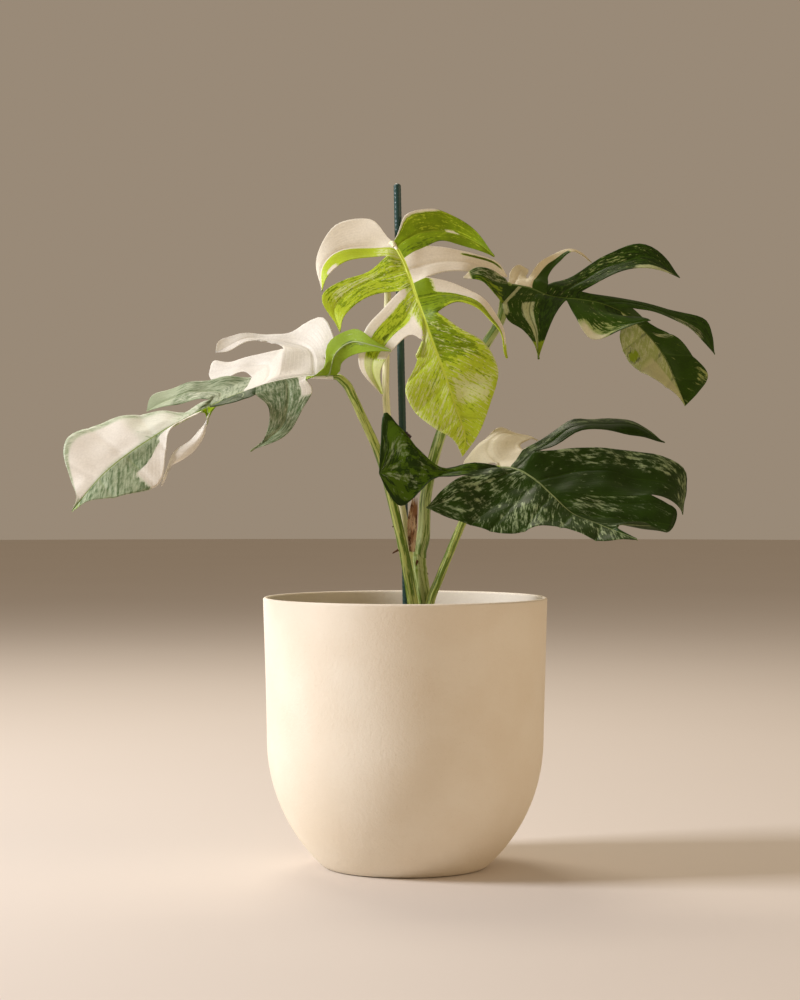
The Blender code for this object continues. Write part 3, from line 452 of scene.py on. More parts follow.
def joined(pieces, name):
    """One piece made of several, with their materials kept apart."""
    with bpy.context.temp_override(active_object=pieces[0], object=pieces[0],
                                   selected_objects=pieces, selected_editable_objects=pieces):
        bpy.ops.object.join()
    pieces[0].name = name
    return pieces[0]


def turned(name, profile, steps, wobble=0.0, seed=1):
    """A body turned from a closed profile of (radius, height) in metres, a little out of round."""
    draw = np.random.default_rng(seed)
    waves = [(draw.uniform(-1, 1), draw.integers(2, 6), draw.uniform(0, TURN), draw.uniform(20, 60))
             for _ in range(6)]
    angles = np.linspace(0, 2 * np.pi, steps, endpoint=False)
    points = []
    for radius, height in profile:
        uneven = sum(a * np.sin(n * angles + p + height * k) for a, n, p, k in waves) / 3
        reach = radius + wobble * uneven * min(1, radius / 0.02)
        points.append(np.stack([reach * np.cos(angles), reach * np.sin(angles),
                                np.full(steps, height)], 1))
    mesh = bpy.data.meshes.new(name)
    mesh.from_pydata(np.vstack(points).tolist(), [], grid_faces(len(profile), steps, closed=True))
    form = bmesh_closed(mesh)
    mesh.shade_smooth()
    return new_object(name, form)


def bmesh_closed(mesh):
    """Merges a turned mesh's poles and points its faces outwards."""
    form = bmesh.new()
    form.from_mesh(mesh)
    bmesh.ops.remove_doubles(form, verts=form.verts, dist=0.000005)
    bmesh.ops.recalc_face_normals(form, faces=form.faces)
    form.to_mesh(mesh)
    form.free()
    return mesh


# ---------------------------------------------------------------- node trees


class Nodes:
    """A node tree with short ways to add what is used often. Each gives what comes out of it."""

    def __init__(self, tree):
        self.tree = tree

    def add(self, kind, links=None, **settings):
        """Adds a node with its settings. links gives its inputs, each a value or an output."""
        made = self.tree.nodes.new(kind)
        for name, value in settings.items():
            setattr(made, name, value)
        for socket, value in (links or {}).items():
            if isinstance(value, bpy.types.NodeSocket):
                self.tree.links.new(value, made.inputs[socket])
            else:
                made.inputs[socket].default_value = value
        return made.outputs

    def geo(self, kind, links=None, **settings):
        """One step of a geometry tree."""
        return self.add("GeometryNode" + kind, links, **settings)[0]

    def store(self, geometry, name, value, domain="POINT"):
        """Keeps a number under a name on each point or instance."""
        return self.geo("StoreNamedAttribute", {0: geometry, "Name": name, "Value": value},
                        data_type="FLOAT", domain=domain)

    def drawn(self, low, high, seed):
        """A number drawn for each point."""
        return self.add("FunctionNodeRandomValue", {2: low, 3: high, "Seed": seed},
                        data_type="FLOAT")[1]

    def math(self, operation, *values):
        """One step of arithmetic on numbers or outputs."""
        return self.add("ShaderNodeMath", dict(enumerate(values)), operation=operation)[0]

    def vector(self, operation, *values):
        """One step of arithmetic on vectors, or on a vector and the number that scales it."""
        links = dict(enumerate(values))
        if operation == "SCALE":
            links = {0: values[0], "Scale": values[1]}
        return self.add("ShaderNodeVectorMath", links, operation=operation)[0]

    def mix(self, factor, first, second, blend="MIX"):
        """One colour laid over another, each an output, a hex colour or a socket's value."""
        first, second = (color(c) if isinstance(c, str) else c for c in (first, second))
        return self.add("ShaderNodeMix", {0: factor, 6: first, 7: second}, data_type="RGBA",
                        blend_type=blend)[2]

    def step(self, value, low, high, start=0.0, stop=1.0):
        """A smooth step between two values."""
        return self.add("ShaderNodeMapRange", {"Value": value, 1: low, 2: high, 3: start, 4: stop},
                        interpolation_type="SMOOTHSTEP")[0]


class Finish(Nodes):
    """A new material's tree, with its shader and its object coordinates in metres."""

    def __init__(self, name, roughness, specular=None):
        self.material = bpy.data.materials.new(name)
        self.material.use_nodes = True
        super().__init__(self.material.node_tree)
        self.shader = self.tree.nodes["Principled BSDF"]
        self.shader.inputs["Roughness"].default_value = roughness
        if specular is not None:
            self.shader.inputs["Specular IOR Level"].default_value = specular
        self.place = self.add("ShaderNodeTexCoord")["Object"]

    def field(self, name, output):
        """A value that the mesh carries at each point."""
        return self.add("ShaderNodeAttribute", attribute_name=name)[output]

    def noise(self, grain_mm, detail=3.0, roughness=0.5, stretch=(1, 1, 1)):
        """Noise with a grain of some size in millimetres, stretched if asked."""
        return self.noise_on(self.place, 1000 / grain_mm, detail, roughness, stretch, "Fac")

    def noise_on(self, vector, scale, detail, roughness, stretch, output):
        """Noise over any coordinates."""
        placed = self.add("ShaderNodeMapping", {"Vector": vector, "Scale": stretch})[0]
        return self.add("ShaderNodeTexNoise", {"Vector": placed, "Scale": scale, "Detail": detail,
                                               "Roughness": roughness})[output]

    def bump(self, height, strength, distance, under=None):
        """Raises the finish by a height between 0 and 1, on top of an earlier bump if given."""
        links = {"Height": height, "Strength": strength, "Distance": distance}
        if under is not None:
            links["Normal"] = under
        made = self.add("ShaderNodeBump", links)[0]
        self.feed("Normal", made)
        return made

    def feed(self, socket, value):
        """Gives one of the shader's inputs."""
        self.tree.links.new(value, self.shader.inputs[socket])

    def done(self, skin):
        """Gives the shader its colour and hands back the material."""
        self.feed("Base Color", skin)
        return self.material


def color(value):
    """A hex colour as a socket's value."""
    return (*linear(value), 1.0)


# ---------------------------------------------------------------- geometry node trees

TINT_SEED = 7                   # which chips happen to be dark


def new_tree(name, material, **sockets):
    """A modifier's node tree with a geometry input and named number inputs after it."""
    tree = bpy.data.node_groups.new(name, "GeometryNodeTree")
    tree.is_modifier = True
    tree.interface.new_socket("Geometry", in_out="OUTPUT", socket_type="NodeSocketGeometry")
    tree.interface.new_socket("Geometry", in_out="INPUT", socket_type="NodeSocketGeometry")
    for label, value in sockets.items():
        socket = tree.interface.new_socket(
            label.replace("_", " "), in_out="INPUT",
            socket_type="NodeSocketInt" if isinstance(value, int) else "NodeSocketFloat")
        socket.default_value = value
    tree.interface.new_socket(material, in_out="INPUT", socket_type="NodeSocketMaterial")
    nodes = Nodes(tree)
    return nodes, nodes.add("NodeGroupInput")


def close_tree(tree, geometry, material):
    """Ends a tree in real geometry with its material."""
    real = tree.geo("RealizeInstances", {0: geometry})
    done = tree.geo("SetMaterial", {0: real, "Material": material})
    tree.add("NodeGroupOutput", {0: done})
    return tree.tree


def apply_tree(piece, tree, values):
    """Runs a tree on a piece with its inputs given by name, and leaves a plain mesh."""
    modifier = piece.modifiers.new(tree.name, "NODES")
    modifier.node_group = tree
    for item in tree.interface.items_tree:
        if item.in_out == "INPUT" and item.name in values:
            modifier[item.identifier] = values[item.name]
    return flattened(piece)


def stem_tree():
    """Round or grooved stems along edges, as thick as their points say, with an uneven skin."""
    tree, start = new_tree("Stems", "Material", Sides=12, Groove=0.0, Groove_Width=0.5,
                           Unevenness=0.0, Grain_Size=0.004, Tilt=0.0)
    curve = tree.geo("MeshToCurve", {0: start["Geometry"]})
    spline = tree.add("GeometryNodeSplineParameter")
    length = tree.math("MULTIPLY", spline["Length"], 1000.0)
    curve = tree.store(curve, "run", length)
    thickness = tree.geo("InputNamedAttribute", {"Name": "thickness"}, data_type="FLOAT")
    curve = tree.geo("SetCurveTilt", {0: curve, "Tilt": start["Tilt"]})
    ring = tree.geo("CurvePrimitiveCircle", {"Resolution": start["Sides"], "Radius": 1.0})
    ring = tree.store(ring, "around", spline["Factor"])
    spot = tree.geo("InputPosition")
    at = tree.add("ShaderNodeSeparateXYZ", {0: spot})
    offside = tree.math("DIVIDE", at["X"], start["Groove Width"])
    squared = tree.math("MULTIPLY", offside, offside)
    dip = tree.math("EXPONENT", tree.math("MULTIPLY", squared, -1.0))
    front = tree.math("GREATER_THAN", at["Y"], 0.0)
    drop = tree.math("MULTIPLY", tree.math("MULTIPLY", dip, front),
                     tree.math("MULTIPLY", start["Groove"], -1.0))
    dent = tree.add("ShaderNodeCombineXYZ", {"Y": drop})[0]
    ring = tree.geo("SetPosition", {0: ring, "Offset": dent})
    skin = tree.geo("CurveToMesh", {0: curve, 1: ring, "Scale": thickness, "Fill Caps": True})
    grain = tree.math("DIVIDE", 1.0, start["Grain Size"])
    lumps = tree.add("ShaderNodeTexNoise", {"Vector": spot, "Scale": grain, "Detail": 2.0})["Fac"]
    swell = tree.math("MULTIPLY", tree.math("SUBTRACT", lumps, 0.5), start["Unevenness"])
    push = tree.vector("SCALE", tree.geo("InputNormal"), swell)
    skin = tree.geo("SetPosition", {0: skin, "Offset": push})
    return close_tree(tree, tree.geo("SetShadeSmooth", {0: skin}), start["Material"])


def scatter_tree():
    """Chips strewn over a surface, each turned, sized and roughened its own way."""
    tree, start = new_tree("Strewn Chips", "Material", Density=4000.0, Smallest_Gap=0.004,
                           Length=0.008, Width=0.6, Thickness=0.35, Roughness=0.3, Sink=0.0, Seed=1)
    spots = tree.geo("DistributePointsOnFaces", {
        "Mesh": start["Geometry"], "Distance Min": start["Smallest Gap"],
        "Density Max": start["Density"], "Seed": start["Seed"]}, distribute_method="POISSON")
    chip = tree.geo("MeshIcoSphere", {"Radius": 0.5, "Subdivisions": 2})
    turn = tree.add("FunctionNodeRandomValue", {
        "Min": (-0.5, -0.5, -3.14), "Max": (0.5, 0.5, 3.14), "Seed": start["Seed"]},
        data_type="FLOAT_VECTOR")[0]
    shape = tree.add("ShaderNodeCombineXYZ", {
        "X": 1.0, "Y": start["Width"], "Z": start["Thickness"]})[0]
    size = tree.math("MULTIPLY", tree.drawn(0.45, 1.25, start["Seed"]), start["Length"])
    shape = tree.vector("SCALE", shape, size)
    strewn = tree.geo("InstanceOnPoints", {
        "Points": spots, "Instance": chip, "Rotation": turn, "Scale": shape})
    strewn = tree.store(strewn, "tint", tree.drawn(0.0, 1.0, TINT_SEED), "INSTANCE")
    real = tree.geo("RealizeInstances", {0: strewn})
    rough = tree.add("ShaderNodeTexNoise", {
        "Vector": tree.geo("InputPosition"), "Scale": tree.math("DIVIDE", 1.6, start["Length"]),
        "Detail": 1.0})["Color"]
    centered = tree.vector("SUBTRACT", rough, (0.5, 0.5, 0.5))
    amount = tree.math("MULTIPLY", start["Roughness"], start["Length"])
    push = tree.vector("SCALE", centered, amount)
    sink = tree.add("ShaderNodeCombineXYZ", {"Z": tree.math("MULTIPLY", start["Sink"], -1.0)})[0]
    push = tree.vector("ADD", push, sink)
    real = tree.geo("SetPosition", {0: real, "Offset": push})
    return close_tree(tree, real, start["Material"])


def stems(name, paths, thickness, material, extras=(), **values):
    """One piece of stems along paths in metres, each with the thickness at its points."""
    mesh = bpy.data.meshes.new(name)
    points, edges = [], []
    for path in paths:
        edges += [(len(points) + i, len(points) + i + 1) for i in range(len(path) - 1)]
        points += [tuple(p) for p in path]
    mesh.from_pydata(points, edges, [])
    put_attribute(mesh, "thickness", "FLOAT", np.concatenate(thickness))
    for label, kind, rows in extras:
        put_attribute(mesh, label, kind, rows)
    piece = new_object(name, mesh)
    tree = bpy.data.node_groups.get("Stems") or stem_tree()
    return apply_tree(piece, tree, {"Material": material, **values})


# ---------------------------------------------------------------- leaf blades


TIP_CROWDING = 1.4              # how the rows of a finger draw together towards its tip
BASE_CROWDING = 1.5             # how the columns of a midrib draw together towards the stalk
SHORTEST_WEB, LONGEST_WEB = 0.08, 0.6   # how far out the splits may end, as a share of a vein
END_GRAIN_SKEW = 0.5            # how the grain slants over a blade's undivided end
VEIN_WIDTH = 1.5                # of the dip over a side vein, in millimetres
VEIN, RIB, AWAY, GRAIN = 4, 5, 6, 7     # where they stand among a point's marks, after the tones
GRAIN_STEP = 8                  # how far the grain runs on from one column to the next
GRAIN_SHIFT = 60                # between one blade's grain and the next one's
RIB_TAPER = (1.7, 0.35)         # radius of a midrib's swelling at the stalk and at the tip
VEIN_TAPER = (0.75, 0.2)        # and of a side vein's, in millimetres
BLADE_WAVES = 14                # slow waves laid over each other to make a blade uneven
WAVE_HEIGHT = 0.011             # of such a wave, as a share of its length


def across(basal, middle, distal, part):
    """A point part of the way over a finger, which is creased a little along its vein."""
    part = part[:, None, None]
    bow = (basal * (1 - part) * (1 - 2 * part) + middle * 4 * part * (1 - part)
           + distal * part * (2 * part - 1))
    crease = np.where(part < 0.5, basal + (middle - basal) * 2 * part,
                      middle + (distal - middle) * (2 * part - 1))
    return (bow + crease) / 2


def painted(patches, part, out):
    """Strengths of the four tones over a grid of a finger's points."""
    tones = np.zeros(part.shape + (len(TONES),))
    for patch in patches:
        mask = 1.0
        for value, (low, high) in ((part, patch.across), (out, patch.out)):
            mask = mask * ramp(value, low - PATCH_EDGE, low + PATCH_EDGE)
            mask *= 1 - ramp(value, high - PATCH_EDGE, high + PATCH_EDGE)
        layer = TONES.index(patch.tone)
        tones[..., layer] += (patch.strength - tones[..., layer]) * mask
    return tones


class Blade:
    """Collects the grids of a blade's fingers and joins them where their points meet."""

    def __init__(self):
        self.points, self.faces, self.marks, self.veins = [], [], [], []
        self.count = 0

    def add_grid(self, grid, marks, flip, vein_columns):
        """Adds a grid of points with what each carries, as grid_marks gives it."""
        rows, columns = grid.shape[:2]
        order = np.arange(rows * columns).reshape(rows, columns) + self.count
        quads = np.stack([order[:-1, :-1], order[1:, :-1], order[1:, 1:], order[:-1, 1:]], -1)
        quads = quads.reshape(-1, 4)
        self.faces.append(quads[:, ::-1] if flip else quads)
        self.points.append(grid.reshape(-1, 3))
        self.marks.append(marks.reshape(rows * columns, -1))
        self.veins += [order[i] for i in vein_columns]
        self.count += rows * columns

    def merged(self):
        """Points, faces and marks, with points in one place made one."""
        points, marks = np.vstack(self.points), np.vstack(self.marks)
        places = np.round(points * 1e4).astype(np.int64)
        _, first, back = np.unique(places, axis=0, return_index=True, return_inverse=True)
        back = back.ravel()
        faces = []
        for quad in back[np.vstack(self.faces)].tolist():
            corners = [k for i, k in enumerate(quad) if k != quad[i - 1]]
            if len(set(corners)) == len(corners) > 2:
                faces.append(corners)
        return points[first], faces, marks[first], [back[v] for v in self.veins]


def grid_marks(grid, part, columns, veins, tones, side, midrib_width):
    """What a blade's points carry: four tones, distance to a side vein and to the midrib, grain."""
    width = np.linalg.norm(grid[0] - grid[-1], axis=-1)[None, :] + 0 * part
    vein = np.min([abs(part - v) for v in veins], axis=0) * width
    steps = np.linalg.norm(np.diff(grid, axis=1), axis=-1)
    away = np.concatenate([np.zeros((len(grid), 1)), np.cumsum(steps, 1)], 1)
    rib = away / midrib_width[:, None]
    grain = [columns[:, None] * GRAIN_STEP + 0 * part, away * side, 0 * part]
    return np.concatenate([tones, np.stack([vein, rib, away, *grain], -1)], -1)


def half_blade(blade, leaf, half, patches, midrib_at, midrib_width, side):
    """One side of a blade: its fingers, then the undivided end round the midrib's tip."""
    web = np.linspace(0, 1, WEB_ROWS + 1)
    free = 1 - (1 - np.linspace(0, 1, FINGER_ROWS + 1)) ** TIP_CROWDING
    first, split = 0, np.array(half.shoulder, float)
    for number, finger in enumerate(half.fingers):
        last, next_split = finger.last, np.array(finger.split, float)
        columns = np.linspace(first, last, (last - first) * FINE + 1)
        ends = midrib_at([first, (first + last) // 2, last])
        tip = finger.vein[-1]
        vein = [ends[1], *finger.vein]
        trial = smooth_path(vein, np.linspace(0, 1, 101))
        reach = np.argmin(np.linalg.norm(trial - (split + next_split) / 2, axis=1)) / 100
        reach = min(max(reach, SHORTEST_WEB), LONGEST_WEB)
        near = ends[0] + (split - ends[0]) * web[:, None]
        far = ends[2] + (next_split - ends[2]) * web[:, None]
        part = (columns - first) / (last - first)
        inner = across(near[None], smooth_path(vein, reach * web)[None], far[None], part)
        inner += (midrib_at(columns) - inner[:, 0])[:, None] * (1 - web[None, :, None]) ** 3
        outer = across(smooth_path([split, *finger.basal, tip], free)[None],
                       smooth_path(vein, reach + (1 - reach) * free)[None],
                       smooth_path([next_split, *finger.distal, tip], free)[None], part)
        inner[0], inner[-1], outer[0, 0], outer[-1, 0] = near, far, split, next_split
        grid = np.concatenate([inner, outer[:, 1:]], 1)
        out = np.concatenate([reach * web, (reach + (1 - reach) * free)[1:]])
        part = part[:, None] + 0 * out
        tones = painted(patches[number], part, out[None] + 0 * part)
        marks = grid_marks(grid, part, columns, (0.5,), tones, side, midrib_width(columns))
        blade.add_grid(grid, marks, side > 0, [len(columns) // 2])
        first, split = last, next_split
    columns = np.linspace(first, RIBS, (RIBS - first) * FINE + 1)
    margin = smooth_path([split, *half.end, leaf.midrib[-1]], np.linspace(0, 1, len(columns)))
    spine = midrib_at(columns)
    grid = spine[:, None] + (margin - spine)[:, None] * web[None, :, None]
    part = ((columns - first) / (RIBS - first))[:, None] + 0 * web
    tones = painted(patches[-1], part, web[None] + 0 * part)
    marks = grid_marks(grid, part, columns, END_VEINS, tones, side, midrib_width(columns))
    length = path_length(margin)
    vein = np.min([abs(part - v) for v in END_VEINS], axis=0)
    marks[..., VEIN] = vein * length * (0.3 + 0.7 * web)
    marks[-1] = marks[-2]
    marks[..., GRAIN] -= END_GRAIN_SKEW * marks[..., AWAY]
    blade.add_grid(grid, marks, side > 0, [round(v * (len(columns) - 1)) for v in END_VEINS])


def blade_relief(points, marks, seed, vein_depth):
    """How far each point of a blade stands off its smooth shape, in millimetres."""
    vein, rib, away, grain = (marks[:, i] for i in (VEIN, RIB, AWAY, GRAIN))
    fade = 1 - 0.5 * ramp(away, 20, 90)
    height = -vein_depth * hump(vein, 0, VEIN_WIDTH) * fade * ramp(away, 0, 3)
    height -= vein_depth * 0.8 * hump(rib, 0, 1.2)
    height += 0.5 * (1 - np.exp(-vein / 6)) * ramp(away, 1, 10)
    draw = np.random.default_rng(seed)
    for _ in range(BLADE_WAVES):
        way = draw.normal(size=3)
        way /= np.linalg.norm(way)
        span = draw.uniform(14, 45)
        wave = np.sin(points @ way * 2 * np.pi / span + draw.uniform(0, TURN))
        height += WAVE_HEIGHT * span * wave * ramp(away, 0, 12)
    height += 0.03 * np.sin(grain * 1.6 + 0.05 * away) * ramp(away, 2, 12)
    return height


def build_blade(side, plant_z, settings):
    """One leaf blade with its ribs and veins, in the place that its stalk gives it."""
    leaf, look = LEAVES[side], BLADES[side]
    seed = sorted(LEAVES).index(side)

    def midrib_at(columns):
        return smooth_path(leaf.midrib, (np.asarray(columns, float) / RIBS) ** BASE_CROWDING)

    def midrib_width(columns):
        return look["rib"] * (1 - 0.75 * np.asarray(columns, float) / RIBS)

    blade = Blade()
    half_blade(blade, leaf, leaf.right, PAINT[side]["right"], midrib_at, midrib_width, 1)
    half_blade(blade, leaf, leaf.left, PAINT[side]["left"], midrib_at, midrib_width, -1)
    points, faces, marks, veins = blade.merged()
    mesh = bpy.data.meshes.new("blade_" + side)
    mesh.from_pydata(points.tolist(), [], faces)
    mesh.update()
    normals = np.zeros(len(points) * 3, np.float32)
    mesh.vertices.foreach_get("normal", normals)
    normals = normals.reshape(-1, 3)
    relief = blade_relief(points, marks, seed + 3, settings.vein_depth * 1000)
    along = midrib_points(points, marks, midrib_at)
    points = points + normals * relief[:, None]
    place = np.array(leaf.base, float) * MM + (0, 0, plant_z)
    mesh.vertices.foreach_set("co", (points * MM + place).astype(np.float32).ravel())
    mesh.update()
    tones, grain = marks[:, :len(TONES)], marks[:, GRAIN:] + (0, 0, seed * GRAIN_SHIFT)
    put_attribute(mesh, "tone", "FLOAT_COLOR", tones)
    put_attribute(mesh, "vein", "FLOAT", marks[:, VEIN])
    put_attribute(mesh, "rib", "FLOAT", marks[:, RIB])
    put_attribute(mesh, "grain", "FLOAT_VECTOR", grain)
    mesh.shade_smooth()
    upper, under = blade_materials(side, look)
    for skin in (upper, under):
        mesh.materials.append(skin)
    piece = new_object("leaf_%s_blade" % side, mesh)
    solidify = piece.modifiers.new("Thickness", "SOLIDIFY")
    solidify.thickness = settings.blade_thickness
    solidify.offset = -1
    solidify.material_offset = 1
    solidify.material_offset_rim = 1
    flattened(piece)

    paths, radii, rows = [], [], []
    for line, (thick, thin) in [(along, RIB_TAPER)] + [(v, VEIN_TAPER) for v in veins]:
        taper = thick + (thin - thick) * np.linspace(0, 1, len(line)) ** 0.8
        drop = settings.blade_thickness * 1000 + taper * 0.35
        paths.append((points[line] - normals[line] * drop[:, None]) * MM + place)
        radii.append(taper * MM)
        rows.append(line)
    rows = np.concatenate(rows)
    extras = [("tone", "FLOAT_COLOR", tones[rows]), ("grain", "FLOAT_VECTOR", grain[rows])]
    ribs = stems("leaf_%s_ribs" % side, paths, radii, rib_material(side, look), extras, Sides=8)
    return finish_piece(joined([piece, ribs], "blade_" + side), look["slot"], "leaf_" + side)


def midrib_points(points, marks, midrib_at):
    """The blade's points along its midrib, from the stalk to the tip."""
    spine = midrib_at(np.linspace(0, RIBS, RIBS * FINE + 1))
    on_rib = np.flatnonzero(marks[:, AWAY] < 1e-6)
    order = []
    for spot in spine:
        near = on_rib[np.argmin(np.linalg.norm(points[on_rib] - spot, axis=1))]
        if not order or order[-1] != near:
            order.append(near)
    return np.array(order)


# ---------------------------------------------------------------- materials


UNDERSIDE = (0.42, 0.47, 0.3, 1)    # what a blade's underside is paled towards
BLADE_GLOW = 0.3                # how much of a blade's light comes through it from behind


def blade_finish(name, look, shine, paler):
    """A blade's skin: living leaf tissue whose colours run out along the veins from the midrib."""
    tree = Finish(name, shine, specular=0.2)
    tone = tree.add("ShaderNodeAttribute", attribute_name="tone")
    grain = tree.field("grain", "Vector")
    vein = tree.field("vein", "Fac")
    rib = tree.field("rib", "Fac")
    clump, torn_by, flecked_by = look["clump"], look["streaks"], look["flecks"]
    streaks = tree.noise_on(grain, 1.0, 4.0, 0.6, (0.8, 0.07, 1), "Color")
    flecks = tree.noise_on(grain, 1.0, 6.0, 0.7, (0.4 * clump, 0.22 * clump, 1), "Color")
    torn = tree.vector("MULTIPLY_ADD", streaks, (torn_by,) * 3, (0.5 - torn_by / 2,) * 3)
    torn = tree.vector("MULTIPLY_ADD", flecks, (flecked_by,) * 3, torn)
    torn = tree.vector("SUBTRACT", torn, (flecked_by / 2,) * 3)
    total = tree.vector("ADD", torn, tone["Color"])
    parts = tree.add("ShaderNodeSeparateXYZ", {0: total})
    plain = tree.add("ShaderNodeSeparateXYZ", {0: tone["Color"]})
    spread = tree.add("ShaderNodeSeparateXYZ", {0: torn})
    silver = tree.math("ADD", tone["Alpha"], spread["X"])
    cloud = tree.noise(9, detail=2.0)
    skin = tree.mix(tree.step(cloud, 0.35, 0.65, 0, 0.3), look["green"], look["dark"])
    skin = tree.mix(tree.step(parts["Y"], 0.97, 1.12), skin, look["lime"])
    skin = tree.mix(tree.step(parts["Z"], 0.98, 1.16, 0, 0.9), skin, look["dark"])
    skin = tree.mix(tree.step(silver, 0.9, 1.25), skin, look["silver"])
    skin = tree.mix(tree.step(vein, 0.2, 0.7, 0.6, 0), skin, look["vein"])
    white = tree.mix(tree.step(plain["X"], 0.55, 0.9), look["fleck"], look["cream"])
    soft = look["soft"] / 2
    skin = tree.mix(tree.step(parts["X"], 1.0 - soft, 1.0 + soft), skin, white)
    skin = tree.mix(tree.step(rib, 0.75, 1.05, 1, 0), skin, look["midrib"])
    if paler:
        skin = tree.mix(paler, skin, UNDERSIDE)
    cells = tree.noise(1.4, detail=2.0)
    shade = tree.mix(cells, (0.86, 0.86, 0.84, 1), (1.1, 1.1, 1.1, 1))
    skin = tree.mix(1.0, skin, shade, "MULTIPLY")
    ripple = tree.add("ShaderNodeTexWave", {
        "Vector": grain, "Scale": 0.16, "Distortion": 1.5, "Detail": 2.0, "Detail Scale": 0.3},
        bands_direction="X")["Fac"]
    raised = tree.bump(ripple, 0.1, 0.0004)
    tree.bump(cells, 0.1, 0.0004, raised)
    glow = tree.add("ShaderNodeBsdfTranslucent", {"Color": skin})[0]
    both = tree.add("ShaderNodeMixShader", {
        0: BLADE_GLOW, 1: tree.shader.outputs[0], 2: glow})[0]
    tree.tree.links.new(both, tree.tree.nodes["Material Output"].inputs["Surface"])
    return tree.done(skin)


def blade_materials(side, look):
    """A blade's waxy upper skin and its duller, paler underside."""
    return (blade_finish("living leaf, waxy upper skin, " + side, look, 0.42, 0.0),
            blade_finish("living leaf, dull underside, " + side, look, 0.6, 0.1))


def rib_material(side, look):
    """Fleshy rib under a blade, smooth and paler than the blade, white where the blade is white."""
    tree = Finish("living leaf, fleshy rib, " + side, 0.5)
    cream = tree.add("ShaderNodeSeparateXYZ", {0: tree.field("tone", "Color")})["X"]
    skin = tree.mix(tree.noise(3), look["midrib"], look["vein"])
    return tree.done(tree.mix(tree.step(cream, 0.6, 0.9), skin, look["cream"]))


def stalk_material(name, green, pale, dark, pale_and_sunlit_share):
    """Living stalk: a satin green skin with long pale and dark streaks along it, partly painted
    light and shade.
    """
    tree = Finish(name, 0.42, specular=0.45)
    around = tree.field("around", "Fac")
    run = tree.field("run", "Fac")
    turn = tree.math("MULTIPLY", around, 2 * math.pi)
    wrapped = tree.add("ShaderNodeCombineXYZ", {
        "X": tree.math("COSINE", turn), "Y": tree.math("SINE", turn),
        "Z": tree.math("MULTIPLY", run, 0.02)})[0]
    streaks = tree.noise_on(wrapped, 1.7, 4.0, 0.62, (1, 1, 1), "Fac")
    lines = tree.noise_on(wrapped, 4.5, 2.0, 0.5, (1, 1, 0.6), "Fac")
    specks = tree.noise(1.6, detail=2.0)
    # Pale streaks: partly the stalk's own colour, partly painted sunlight. Dark lines: partly its
    # own colour, partly painted shade.
    lit = 0.62 - 0.25 * pale_and_sunlit_share
    skin = tree.mix(tree.step(streaks, lit, lit + 0.06), green, pale)
    skin = tree.mix(tree.step(lines, 0.56, 0.66, 0, 0.6), skin, dark)
    skin = tree.mix(tree.step(specks, 0.66, 0.74, 0, 0.35), skin, pale)
    raised = tree.bump(lines, 0.3, 0.0005)
    tree.bump(specks, 0.15, 0.0003, raised)
    return tree.done(skin)


def stoneware():
    """Bisque stoneware: unglazed and matte, so light falls off softly, with sand in the clay."""
    tree = Finish("bisque stoneware", 0.86, specular=0.3)
    clouds = tree.noise(45)
    sand = tree.noise(1.5, roughness=0.7)
    pits = tree.noise(3.2, detail=2.0)
    skin = tree.mix(tree.step(clouds, 0.3, 0.7), "#efe6d3", "#ebe0cb")
    skin = tree.mix(tree.step(sand, 0.6, 0.78, 0, 0.35), skin, "#d3c3a4")
    grit = tree.bump(sand, 0.35, 0.0005)
    tree.bump(pits, 0.25, 0.0008, grit)
    return tree.done(skin)


def moulded_plastic():
    """Moulded polypropylene: thin black pot plastic, dull with handling and dusted with mix."""
    tree = Finish("moulded polypropylene", 0.48)
    dust = tree.noise(6, detail=4.0, roughness=0.65)
    skin = tree.mix(tree.step(dust, 0.5, 0.72, 0, 0.5), "#1c1c1d", "#4a3c2e")
    tree.feed("Roughness", tree.step(dust, 0.4, 0.7, 0.42, 0.75))
    tree.bump(dust, 0.2, 0.0004)
    return tree.done(skin)


def earthy(name, deep, light, grain_mm, roughness=0.95):
    """Bark, peat or roots: rough and dry, each chip a little lighter or darker than the next."""
    tree = Finish(name, roughness)
    tint = tree.field("tint", "Fac")
    crumbs = tree.noise(grain_mm, detail=5.0, roughness=0.7)
    share = tree.math("ADD", tree.math("MULTIPLY", tint, 0.55), tree.step(crumbs, 0.3, 0.8, 0, 0.6))
    skin = tree.mix(share, deep, light)
    tree.bump(crumbs, 0.6, 0.0012)
    return tree.done(skin)


def coated_stake():
    """Plastic-coated steel: dark teal, satin, with fine ridges that catch a thin line of light."""
    tree = Finish("plastic-coated steel", 0.34)
    scuffs = tree.noise(5, detail=4.0, stretch=(1, 1, 0.15))
    skin = tree.mix(tree.step(scuffs, 0.55, 0.8, 0, 0.5), "#1f423d", "#4c6d66")
    tree.feed("Roughness", tree.step(scuffs, 0.4, 0.7, 0.3, 0.5))
    tree.bump(tree.noise(1.8, detail=2.0), 0.35, 0.0005)
    return tree.done(skin)


def coated_wire():
    """PVC-coated tie wire: dark purple-brown, soft and slightly shiny."""
    tree = Finish("pvc-coated wire", 0.45)
    wear = tree.noise(2.5)
    skin = tree.mix(tree.step(wear, 0.4, 0.7), "#2a161b", "#4b2b2c")
    tree.bump(wear, 0.3, 0.0003)
    return tree.done(skin)


def dry_leaf():
    """Dry leaf sheath: papery, peach-tan, with brown fuzz and long fibres."""
    tree = Finish("dry leaf sheath", 0.75)
    fibres = tree.noise(2.0, detail=4.0, stretch=(1, 1, 0.12))
    specks = tree.noise(2.4, detail=5.0, roughness=0.75, stretch=(1, 1, 0.4))
    skin = tree.mix(tree.step(fibres, 0.3, 0.7), "#cfa47c", "#eaceaa")
    fuzz = tree.noise(5, roughness=0.6, stretch=(1, 1, 0.3))
    skin = tree.mix(tree.step(fuzz, 0.46, 0.56, 0, 0.8), skin, "#8a5226")
    skin = tree.mix(tree.step(specks, 0.5, 0.6), skin, "#5f3214")
    tree.bump(fibres, 0.5, 0.0005)
    return tree.done(skin)


